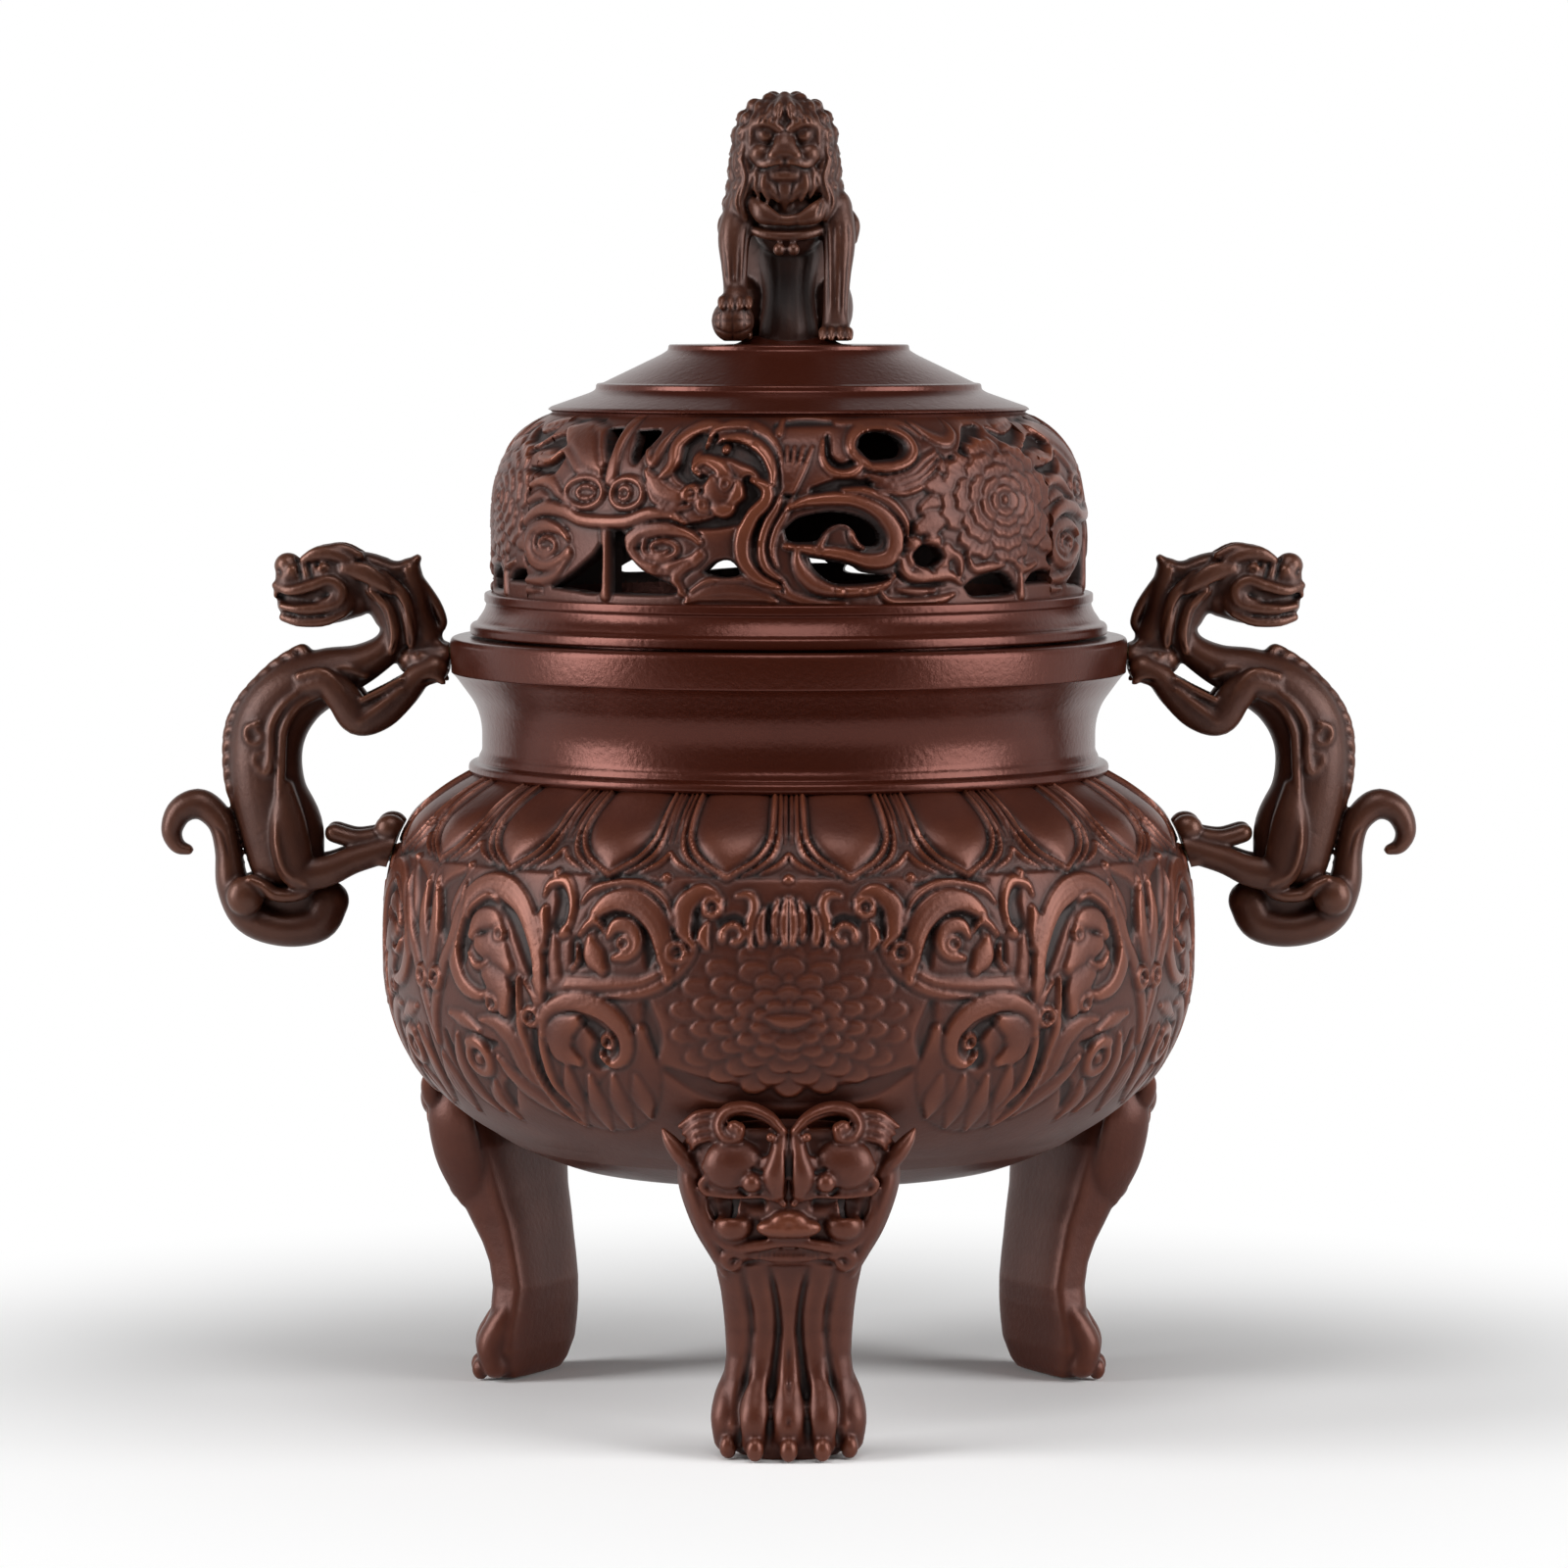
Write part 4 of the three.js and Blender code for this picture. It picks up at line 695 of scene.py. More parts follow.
def seated(points):
    """Moves points that lie inside the bowl's outline, or nearer to it than the gap, out to it: along
    rays from the middle of the belly, and level above its collar."""
    p = np.array(points, float)
    r, z = np.hypot(p[:, 0], p[:, 1]), p[:, 2]
    tall = np.where(z < belly_wide_at, belly_wide_at - base_height, belly_rise) + seat_gap
    power = np.where(z < belly_wide_at, lower_power, upper_power)
    level = np.minimum(np.abs(z - belly_wide_at) / tall, 1.5)
    share = ((r / (belly_radius + seat_gap)) ** power + level**power) ** (1 / power)
    grow = np.where((share < 1) & (z < collar_at), 1 / np.maximum(share, 0.5), 1)
    p[:, :2] *= grow[:, None]
    p[:, 2] = belly_wide_at + (z - belly_wide_at) * grow
    outline = [neck_radius, neck_radius + 1.6, flare_radius, belly_radius * 0.829, rim_radius]
    wall = np.interp(z - rim_top, [-21, -16.4, -9.6, -8.8, 0], outline) + seat_gap
    push = np.where((z >= collar_at) & (z <= rim_top + seat_gap) & (r < wall), wall / np.maximum(r, 1), 1)
    p[:, :2] *= push[:, None]
    return p


# the shin's height, front, back and half-width from the floor up, and the mask's height and front
shin_heights = [0.6, 3, 8, 13, 18, 24, 30, 35, 40, 47, 54, 60, 70, 80]
shin_front = [81.6, 83, 84.4, 82.6, 80.4, 80.2, 81, 83, 86, 89.5, 91, 91.5, 93.4, 94.2]
shin_back = [72.6, 71.4, 70.2, 69.7, 69, 68.6, 69.4, 70.2, 70.9, 72.6, 73.8, 74.6, 78, 82]
shin_half = [11.5, 13.6, 16, 16.2, 15.4, 14.7, 15, 15.4, 16, 17.4, 19, 20.4, 22, 21]
mask_heights = [44, 50, 57, 64, 70, 76, 80, 86]
mask_front = [88.5, 91.5, 94.4, 95.6, 97, 97.8, 97.2, 95.2]


def on_mask(x, height, lift=0.0):
    """A place on the mask's face, which falls back to the sides with the square of the distance."""
    return (x, -(np.interp(height, mask_heights, mask_front) - 0.01 * x * x + lift), height)


def mask_tube(wax, stops, deep=1.0, **more):
    """A pair of tubes over the mask's face from stops (aside, height, radius, lift), so much deeper
    than they are wide."""
    places = [(*on_mask(x, height, lift), radius, radius * deep) for x, height, radius, lift in stops]
    wax.tubes(places, **more)


def shin_rings():
    """Sections of the slab: a superellipse, boxy at the back and rounder at the front."""
    height = np.array([0.6, 1.5, 3, 5, 8, 10.5, 13, 18, 24, 30, 35, 40,
                       44, 47, 51, 54, 57, 60, 65, 70, 75, 80])
    sizes = (shin_front, shin_back, shin_half)
    front, back, half = (np.interp(height, shin_heights, size)[:, None] for size in sizes)
    turn = np.linspace(0, 2 * np.pi, 48, endpoint=False)
    x = half * np.sign(np.cos(turn)) * np.abs(np.cos(turn)) ** 0.5
    power = np.where(np.sin(turn) > 0, 0.75, 0.3)
    out = (front + back) / 2 + (front - back) / 2 * np.sign(np.sin(turn)) * np.abs(np.sin(turn)) ** power
    return np.dstack([x, -out, np.broadcast_to(height[:, None], x.shape)])[:, ::-1]


def mask_leg():
    """The front leg in wax, from ground to brow."""
    wax = Wax("x")
    wax.rings(shin_rings())
    wax.ball((0, -87.6, 73), (22.4, 7.6, 9.6))
    wax.ball((0, -88.6, 66), (19.5, 6.4, 10))
    for aside, back in ((0.0, 0.0), (7.9, 0.7), (14.2, 5.0)):
        crest = [(0.72, 40, 84.6, 2.2), (0.68, 33, 82.4, 2.8), (0.72, 26, 81.2, 3.0), (0.85, 19, 81.8, 3.3),
                 (0.96, 14, 84.6, 3.9), (1.0, 9.4, 86.9, 4.2), (1.0, 4.4, 85.6, 3.6)]
        for way in ((1,) if aside == 0 else (1, -1)):
            wax.tube([(way * aside * share, -(out - back - r), z, r, r) for share, z, out, r in crest],
                     side=(1, 0, 0))
            wax.ball((way * aside, -(86.4 - back), 3), (2.2, 2.2, 2.9))
    wax.ball((0, -80.4, 7.4), (14.6, 4.2, 8.4))
    # side lobes of the mane, then cheeks, nose, eyes and the curls beside them
    wax.tubes([(22.2, -84.6, 74, 3, 5), (22.8, -84.4, 67, 3.2, 6.6), (19.8, -84, 57.4, 3.2, 7),
               (16.6, -83.4, 50, 2.4, 6), (14.8, -83, 45, 1.4, 4)])
    wax.balls(on_mask(12.6, 71.4, -1.9), (7.4, 4.4, 6.2))
    wax.balls(on_mask(8.6, 67.6, 1.6), (2.3, 2.3, 2.3))
    wax.tubes([(*on_mask(1.8, 77.4, -2.2), 1.7, 2.2), (*on_mask(2.4, 73, -0.8), 2.5, 2.8),
               (*on_mask(3.2, 68.8, 0.2), 3.1, 3), (*on_mask(2.6, 65.2, 0), 2, 2.2)])
    mask_tube(wax, [(5.4, 73, 0.8, -0.8), (6, 69.4, 1.1, -0.4), (5.6, 66, 1.2, 0), (4.2, 64.6, 1, 0.2)])
    wax.balls(on_mask(18.6, 71, -0.6), (1.8, 2, 1.8))
    mask_tube(wax, [(16.2, 65.4, 1, -0.2), (18.6, 64.6, 1.1, 0), (20.2, 66.6, 1.1, 0), (18.6, 68.4, 1, 0),
                    (17.4, 67, 0.9, 0)], around=12)
    mask_tube(wax, [(17, 64.4, 1.1, -0.2), (12.4, 63.8, 1.2, 0), (7, 64.2, 1.2, 0.2), (3, 63.8, 1.1, 0.2)])
    mask_tube(wax, [(14.6, 61.6, 0.7, -1.6), (12.6, 62.8, 0.8, -1.2), (11, 62.2, 0.9, -1),
                    (11.6, 61, 0.8, -1.2)], around=12)
    wax.balls(on_mask(1.2, 62.4, 0.2), (0.9, 1, 0.9))
    # tongue, fangs, lips, bearded chin and the curls at its corners
    wax.ball(on_mask(0, 56.6, -0.6), (7.8, 3.4, 2.7))
    wax.ball(on_mask(0, 58.2, -0.6), (4.6, 3, 2.8))
    wax.balls(on_mask(12.8, 56.8, -1.4), (4.4, 3.6, 3.8))
    mask_tube(wax, [(20, 64, 1.2, -1.6), (18.8, 58, 1.4, -1), (16, 53.4, 1.5, -0.4), (12, 51.6, 1.5, 0),
                    (7, 52.2, 1.4, 0.3), (2.4, 53, 1.2, 0.4), (0, 53.1, 1.2, 0.4)])
    wax.ball(on_mask(0, 50, -2.4), (10.5, 3.2, 3))
    mask_tube(wax, [(10.4, 49.6, 1.2, 0), (12.8, 50.4, 1.3, 0), (14.8, 48.6, 1.4, 0), (13.2, 46.6, 1.3, 0),
                    (11.6, 47.6, 1.1, 0)], around=12)
    # ears, brow scrolls and the combed tufts beside them
    wax.tubes([(21.4, -88.6, 68.4, 1.4, 2.2), (24.8, -88.6, 72.6, 2.2, 2.6), (27.6, -88, 76.2, 1.7, 2),
               (29.3, -87.4, 78.8, 0.6, 0.8)])
    mask_tube(wax, [(1.2, 79.4, 1, -1.2), (4.6, 82.6, 1.5, -1.4), (9.4, 84.4, 1.8, -1.6),
                    (13.9, 83.8, 1.8, -1.8), (16.1, 80.6, 1.6, -1.6), (14.5, 77.8, 1.5, -1),
                    (11.8, 78, 1.3, -0.6), (11.3, 80.2, 1.3, 0.3)], deep=1.7)
    wax.balls(on_mask(12.6, 80.4, 0.2), (1.7, 1.9, 1.7))
    wax.balls(on_mask(4.2, 78.2, 0), (1.2, 1.4, 1.2))
    for row in range(4):
        mask_tube(wax, [(16.8, 83.4 - 1.9 * row, 0.8, -2.2), (21.2, 82.6 - 2 * row, 1, -2),
                        (25.4 - row, 79.6 - 1.6 * row, 0.6, -2.4)], deep=2, around=12)
    skin = wax.melted(0.46)
    skin.relax(3)
    skin.draw_both([(17, -91.5, 61), (10, -94.4, 61.4), (5, -95, 61.8)], 1.7, -3.4)
    rib = [(11, 47), (9.4, 38), (8.7, 31), (9.4, 23), (11.2, 14), (11.6, 8), (11.7, 2)]
    near = [(4.4, 46), (3, 38), (2.5, 31), (3.2, 23), (4.3, 14), (4.5, 8), (4.5, 2)]
    side = [(6.4, 24), (7.4, 17), (8, 11)]
    for line, width, depth in ((rib, 1.0, -1.7), (near, 0.9, -1.6), (side, 0.5, -0.5)):
        line = [(x, -np.interp(z, shin_heights, shin_front) + 0.012 * x * x, z) for x, z in line]
        skin.draw_both(line, width, depth)
    skin.draw_both([on_mask(22.4, 69.6, -0.6), on_mask(25.2, 73.4, 1), on_mask(28.2, 77.2, 1.6)], 0.5, -0.8)
    skin.draw_both([on_mask(x, z, 0.6) for x, z in ((5.4, 67.6), (6.4, 65.2), (8.8, 64.4), (11.4, 65.8),
        (11.8, 68.4), (9.4, 70.6), (6.6, 70.2), (5.4, 67.8))], 0.45, -1.1)
    skin.draw_both([on_mask(x, z, 0.6) for x, z in ((2.6, 79.6), (5.4, 81.9), (9.4, 83.2), (12.4, 82.8))],
                   0.4, -0.7)
    for lean in (0, 1, 2):
        skin.draw_both([(20.6 - 1.2 * lean, -90, 66), (18.6 - 1 * lean, -89.6, 57.6),
                        (16.6 - 0.8 * lean, -88, 50)], 0.4, -0.35)
    skin.draw([(0, -81, 26), (0, -83, 17), (0, -87.6, 8)], 0.5, -0.8)
    skin.draw([on_mask(0, 76.4, 0.8), on_mask(0, 70, 1.2), on_mask(0, 64.6, 1)], 0.7, -1.2)
    skin.draw([on_mask(0, 59.4, 1), on_mask(0, 57, 2), on_mask(0, 54.6, 1.4)], 0.5, -0.9)
    skin.draw([on_mask(x, 46.9 + 1.7 * (1 - (x / 12) ** 2), 0) for x in (-12, -8, -4, 0, 4, 8, 12)],
              0.6, -0.9)
    for x in np.arange(-6.6, 6.7, 1.1):
        skin.draw([on_mask(x, 51.6 - 0.02 * x * x, 0.6), on_mask(x * 1.06, 49.2 - 0.03 * x * x, 0.6)],
                  0.32, -0.55)
    skin.incise()
    skin.relax(1)
    return skin


wax_leg = mask_leg()
wax_leg.p = seated(wax_leg.p)
wax_leg.p[:, 2] = np.maximum(wax_leg.p[:, 2], 0)
leg_tone = wax_leg.tone(26, 1.5)
# the tone is raised round the tongue, so that it renders lighter and redder
leg_tone = leg_tone + 0.4 * np.exp(-(((wax_leg.p - on_mask(0, 58, 3)) / (7, 5, 3)) ** 2).sum(1))
for name, turn in (("front", 0), ("back_left", -120), ("back_right", 120)):
    c, s = np.cos(np.radians(turn)), np.sin(np.radians(turn))
    shape = wax_leg.p @ np.array([[c, s, 0], [-s, c, 0], [0, 0, 1]])
    piece(f"mask_leg_{name}", shape, [wax_leg.quads], "vessel", f"leg_{name}", bronze, leg_tone,
          flat_angle=180)

# Handles: two climbing dragons.
# Each is a separate casting, held by a screw through the rim and one through the belly behind its
# paws. It was modelled in wax from rolled limbs, then combed and incised before casting.
dark = patina("brown_patina_on_bronze", "#180805", "#3c1c10", "#6a3f2c")  # browner, and less rubbed


def dragon():
    """The left dragon in wax. Places are mm left of the axis (x), aside (y) and above the ground (z)."""
    wax = Wax("y")
    # body from the neck over the back to the haunch, then the ball that the tail rolls round
    wax.tube([(-101.5, 0, 203, 6.5, 5.6), (-97.2, 0, 197.4, 6.1, 5.6), (-95.4, 0, 191.4, 5.4, 5.5),
              (-98, 0, 186.6, 4, 5.6), (-104.6, 0, 182.4, 5, 6.6), (-113, 0, 179.4, 7, 7.2),
              (-121, 0, 175.2, 8.4, 7.7), (-126.6, 0, 168.6, 9.2, 7.9), (-128.4, 0, 160.4, 9, 7.9),
              (-127.6, 0, 151, 9.2, 7.8), (-124.6, 0, 142, 10.2, 7.6), (-123.4, 0, 134, 9.4, 7)], around=28)
    wax.ball((-121.4, 0, 124.6), (9.6, 3.6, 9))
    # tail: sweeps left from under the haunch, up beside the back and over into a hook
    wax.tube([(-113, 0, 124, 5, 5.2), (-116, 0, 118.8, 5, 5.6), (-124, 0, 117.4, 4.8, 6),
              (-132.4, 0, 120.4, 4.8, 5.8), (-136.6, 0, 128, 4.2, 5.4), (-137.8, 0, 136.6, 3.3, 4.6),
              (-139.6, 0, 143.6, 3.4, 4.4), (-144.4, 0, 147.8, 3.8, 4.2), (-149.4, 0, 146.2, 3.4, 3.8),
              (-151.6, 0, 141.4, 2.7, 3.2), (-150.2, 0, 137.6, 2, 2.6), (-147.6, 0, 136.6, 1.4, 1.8)])
    wax.balls((-133.2, 5.4, 125.6), (4.7, 3.6, 4.9))
    wax.tubes([(-131.8, 5.6, 129.8, 1.3, 2.6), (-128.6, 5.8, 128.2, 1.5, 2.8), (-125.4, 5.8, 126, 1.8, 2.8),
               (-119.6, 5.8, 126.2, 1.6, 2.6), (-115.4, 5.4, 129.6, 1.2, 2.2)])
    # head: skull, snout, nose, brow, cheeks, upper lip and jaw
    wax.ball((-109.4, 0, 202.6), (8, 6.2, 7.2))
    wax.tube([(-108, 0, 203.4, 6.4, 6), (-115, 0, 203, 5.6, 5.4), (-121.4, 0, 203.6, 4.4, 4.6)])
    wax.ball((-122.6, 0, 206.4), (3.5, 3.6, 3.3))
    wax.tube([(-121.8, 0, 202.4, 3.6, 4.6), (-116, 0, 200.4, 4.2, 5.4)])
    for aside in (-2.2, 0, 2.2):
        wax.ball((-125.4, aside, 199.4), (0.9, 0.9, 1.2))
    wax.balls((-121.2, 3.2, 205), (2, 1.8, 2))
    wax.tubes([(-125.4, 1.4, 201.6, 1.2, 1.4), (-121.6, 4.6, 200.4, 1.5, 1.5),
               (-116.6, 5.9, 201.6, 1.5, 1.3), (-112, 6.3, 203, 1.4, 1.2), (-109, 6.4, 200.8, 1.4, 1.2),
               (-110, 6.2, 197.6, 1.4, 1.2), (-114.6, 5.8, 196.2, 1.4, 1.2), (-120, 4.6, 196, 1.3, 1.3),
               (-124, 2.4, 196.6, 1, 1.2)], around=14)
    wax.tubes([(-123.8, 1.6, 193.8, 1.1, 1.4), (-119.6, 3.8, 192.8, 1.3, 1.4), (-113.4, 5.2, 193, 1.3, 1.3),
               (-108.6, 5.4, 195, 1.2, 1.1)], around=14)
    wax.tube([(-106, 0, 198.8, 5, 5.2), (-113, 0, 196.6, 4.6, 5), (-119.6, 0, 196.2, 4, 4.2),
              (-122.6, 0, 197, 2.8, 3)])
    wax.balls((-110.6, 4.4, 198.4), (5, 2.6, 5))
    wax.tubes([(-118.6, 2.6, 207.8, 1.3, 1.3), (-115.4, 3.6, 209.4, 1.8, 1.6), (-111, 4.4, 209.4, 1.9, 1.6),
               (-107, 5, 207.6, 1.4, 1.2)])
    wax.balls((-113.6, 4.9, 205.6), (1.9, 1.5, 1.7))
    wax.tubes([(-119.6, 2, 206.8, 0.8, 1.5), (-118.4, 2.2, 208.4, 0.8, 1.5),
               (-116.8, 2.2, 209.4, 0.8, 1.4)])
    # horns and ears laid back, then the mane that turns up at its tip
    wax.tubes([(-114, 3, 210, 1.6, 1.6), (-109, 3.8, 210.6, 1.5, 1.5), (-104.6, 4.4, 209, 1.1, 1.1)])
    wax.tubes([(-108.4, 5.4, 205.8, 1.6, 1.3), (-103.6, 6.4, 205, 2.4, 1.2), (-99.4, 6.8, 202.4, 1.8, 1),
               (-97, 6.6, 200, 0.6, 0.6)])
    wax.tube([(-108, 0, 207, 3.4, 4.8), (-102, 0, 206.6, 2.9, 4.6), (-97, 0, 205.2, 2.5, 4.2),
              (-93.4, 0, 205.8, 2.2, 3.6), (-90.9, 0, 208.2, 1.1, 2.4)])
    wax.tube([(-93, 0, 205.4, 3, 4.4), (-91.4, 0, 200, 2.8, 4.6), (-90.6, 0, 194, 3.2, 5),
              (-88.4, 0, 188.6, 3.6, 5.4)])
    wax.tubes([(-99, 5, 204, 1.4, 1.6), (-94.4, 5.4, 199.4, 1.6, 1.6), (-92.6, 5.6, 192.6, 1.6, 1.5),
               (-92.4, 5.4, 187.4, 1, 1)])
    wax.tubes([(-102, 5.4, 200.4, 1.2, 1.4), (-98, 5.8, 196.4, 1.4, 1.4), (-96.4, 5.8, 190.6, 1.4, 1.4),
               (-97, 5.6, 185.6, 0.9, 1)])
    # ribbon of the mane that stands clear behind the neck
    wax.tube([(-91.4, 0, 204.6, 1, 2.2), (-88.6, 0, 200.6, 1.2, 2.4), (-86.2, 0, 196.4, 1.4, 2.4),
              (-84.8, 0, 192.4, 1.2, 2), (-86.4, 0, 190, 1.2, 2.4)])
    # forelegs: shoulder, elbow, forearm and paw on the rim
    wax.tubes([(-119.4, 5.6, 176.6, 2.4, 2.6), (-113.4, 6.6, 178.2, 3.4, 3.2), (-108.8, 7, 174.4, 4.3, 3.4),
               (-105.2, 7, 169.6, 4.5, 3.4), (-99.8, 6.8, 170.6, 4.2, 3.3), (-94.8, 6.6, 174.8, 3.8, 3.2),
               (-90.6, 6.2, 179.4, 3.2, 3.2), (-86.4, 6, 181.4, 3.4, 3.2)])
    for aside, height in ((3.4, 187.4), (5.4, 183.8), (7.4, 179.8)):
        wax.balls((-89.8, aside, height), (2.6, 1.9, 2))
        wax.tubes([(-88.8, aside, height, 1.6, 1.5), (-86, aside + 0.4, height - 0.2, 1.4, 1.3),
                   (-84.3, aside + 0.4, height - 1.6, 0.8, 0.8)])
    # hind legs: haunch, shin and paw on the belly
    wax.tubes([(-123.4, 6.2, 152, 2.6, 2.6), (-122.6, 7.2, 144.6, 4.4, 3), (-121.6, 7.6, 137, 5, 3),
               (-119.8, 7.4, 131.4, 4.2, 3.2), (-113.4, 7, 131.8, 3.9, 3.2), (-107, 6.8, 134.4, 3.4, 3.1),
               (-101.4, 6.6, 136.2, 3.3, 3.1), (-97.2, 6.4, 137.4, 3.5, 3.2)])
    wax.tubes([(-111.4, 3.8, 141, 2.4, 3), (-106.4, 4.2, 139.6, 2.4, 3), (-101.8, 4.6, 139.8, 2.6, 3)])
    wax.balls((-97.6, 5.2, 142.2), (3.9, 3.6, 3.6))
    for aside, height in ((3.8, 139), (6.0, 136.8), (8.0, 134.6)):
        wax.tubes([(-101, aside, height + 0.4, 1.6, 1.4), (-98, aside, height, 1.8, 1.5),
                   (-95.8, aside, height - 0.8, 1.3, 1.2)])
    # pads that close on the rim and the belly behind the paws
    wax.tube([(-92, 0, 183.6, 4.2, 6.4), (-84.6, 0, 184.4, 3.6, 6.4)])
    wax.tube([(-104, 0, 137, 3.4, 6.2), (-97.6, 0, 136.6, 3.8, 6.2)])
    # saw-toothed crest
    back = smooth_path([(-110, 186.2), (-117.4, 186), (-124.2, 182.6), (-129.8, 177.6), (-134, 172.6),
        (-136.6, 166.8), (-137.2, 160.2), (-136.6, 152.6), (-134.4, 146)], 12)
    run = along(back)
    for start in np.arange(9, run[-1] - 3, 3.4):
        root, tip = np.column_stack([np.interp([start, start + 2.4], run, back[:, k]) for k in (0, 1)])
        way = tip - root
        out = np.array([-way[1], way[0]]) / np.hypot(*way)
        out = out if out @ (root - (-118, 160)) > 0 else -out
        low, high = root - out * 2.4, root + way * 0.9 + out * 1.3
        root = root + out * 0.3
        wax.tube([(low[0], 0, low[1], 2, 3.4), (root[0], 0, root[1], 1.6, 2.4),
                  (high[0], 0, high[1], 0.8, 1.2)], around=12)
    # ridges and curls of flame on the flank
    for flank in ([(-119.6, 7.2, 179.4, 1.3, 1.0), (-113.6, 8.4, 180.4, 1.5, 1.2),
                   (-109.4, 9.2, 176.6, 1.4, 1.2), (-106.6, 9.4, 171.4, 1.2, 1.0)],
                  [(-112.6, 6, 181.2, 1.1, 1.2), (-107.6, 6, 181.4, 1.3, 1.4),
                   (-103.4, 5.4, 179.6, 0.9, 1)],
                  [(-117.4, 7, 177, 1.1, 1.1), (-123, 7.5, 173, 1.2, 1.2), (-126.3, 7.8, 167.4, 1.2, 1.2),
                   (-126.6, 7.9, 160.6, 1.2, 1.2), (-127.4, 7.7, 156.4, 1.1, 1.1),
                   (-129.4, 7.3, 156.8, 0.9, 0.9)],
                  [(-114.4, 6.8, 175.6, 1.1, 1.1), (-119.8, 7.2, 172.6, 1.2, 1.2),
                   (-123.2, 7.5, 167, 1.2, 1.2), (-123.9, 7.6, 159.6, 1.2, 1.2),
                   (-124.2, 7.8, 152, 1.2, 1.2), (-124.6, 8.6, 144, 1, 1)],
                  [(-129.6, 7.4, 168.2, 0.9, 1), (-132.4, 6.6, 166.8, 0.9, 1), (-132, 6.8, 163.8, 0.9, 1),
                   (-129.4, 7.4, 163.2, 0.9, 1), (-128.6, 7.6, 165.4, 0.8, 0.9),
                   (-130, 7.5, 166.6, 0.6, 0.7)],
                  [(-128, 7.5, 161.2, 0.8, 0.9), (-130.4, 7.1, 160, 0.8, 0.9), (-130, 7.2, 157.8, 0.8, 0.9),
                   (-128, 7.5, 157.8, 0.7, 0.8), (-127.8, 7.6, 159.6, 0.6, 0.7)],
                  [(-124.8, 8.6, 146, 0.9, 1), (-124.9, 9.8, 139, 1, 1), (-122.8, 10, 132, 1, 0.9),
                   (-118, 9.8, 129, 0.8, 0.8)],
                  [(-104.6, 9.6, 168.6, 1.2, 1), (-99.6, 9.6, 172.2, 1.3, 1),
                   (-94.4, 9.2, 176.4, 1.1, 0.9)],
                  [(-104, 9.4, 174, 0.9, 0.8), (-99, 9.2, 176.4, 1, 0.8), (-94.6, 8.8, 179, 0.8, 0.8)]):
        wax.tubes(flank, around=12)
    skin = wax.melted(0.45)
    skin.relax(4)
    for k in range(6):
        skin.draw_both([(-104.6 + 1.9 * k, 5.6, 203 - 0.8 * k), (-100.4 + 1.5 * k, 6.6, 196.5),
                        (-99.4 + 1.7 * k, 6.4, 189.6), (-101.4 + 2.2 * k, 6.6, 183.6)], 0.34, -0.5)
    for k in range(4):
        skin.draw_both([(-106 + k, 3.6, 210.2 - 0.4 * k), (-101.4, 4.4, 207.8 - 0.8 * k),
                        (-96.4, 4.2, 206 - 0.9 * k), (-92.4, 3.4, 206.8 - 0.8 * k)], 0.3, -0.4)
    skin.draw_both([(-125, 2, 199.2), (-120.6, 5.2, 198.2), (-115.6, 6.4, 199), (-112, 6.8, 200)],
                   0.8, -1.6)
    for start, stop in (((-120.2, 209), (-119, 203)), ((-118, 209.4), (-116.4, 203.6)),
            ((-116, 209), (-114.2, 204.8))):
        skin.draw_both([(start[0], 1.4, start[1]), ((start[0] + stop[0]) / 2, 3.8,
            (start[1] + stop[1]) / 2), (stop[0], 5.6, stop[1])], 0.5, -1.1)
    skin.draw_both([(-123, 3.4, 195), (-118, 4.8, 194.4), (-112.4, 5.6, 194.6), (-109, 5.8, 196.6)],
                   0.45, -0.8)
    skin.draw_both([(-107.2, 6.8, 203.6), (-106, 7, 199.6), (-107.4, 6.4, 195.4)], 0.4, -0.6)
    skin.draw_both([(-113.6, 6.4, 205.8), (-113.5, 6.5, 205.7)], 0.7, -0.6)
    skin.draw_both([(-125.3, 2.2, 205.4), (-124.6, 3.8, 204.4)], 0.6, -0.9)
    for k in range(3):
        skin.draw_both([(-90.2, 4.4 + 2 * k, 186 - 3.6 * k), (-86, 4.7 + 2 * k, 185.6 - 3.6 * k)],
                       0.4, -0.7)
    for k in range(7):
        skin.draw_both([(-128 - 0.7 * k, 7.6, 142 - 2.6 * k), (-131 - 0.5 * k, 6.4, 139.6 - 2.6 * k)],
                       0.35, -0.3)
    for low in ((-139, 141), (-143.6, 145)):
        skin.draw_both([(low[0] + 2, 4.2, low[1] - 7), (low[0], 4.4, low[1]),
                        (low[0] - 4, 4.2, low[1] + 2)], 0.35, -0.4)
    skin.incise()
    skin.relax(1)
    return skin


wax_dragon = dragon()
wax_dragon.p = seated(wax_dragon.p)
dragon_tone = wax_dragon.tone()
for name, way in (("left", 1), ("right", -1)):
    shape = wax_dragon.p * (way, way, 1)
    piece(f"dragon_{name}", shape, [wax_dragon.quads], "vessel", f"handle_{name}", dark,
          dragon_tone, flat_angle=180)

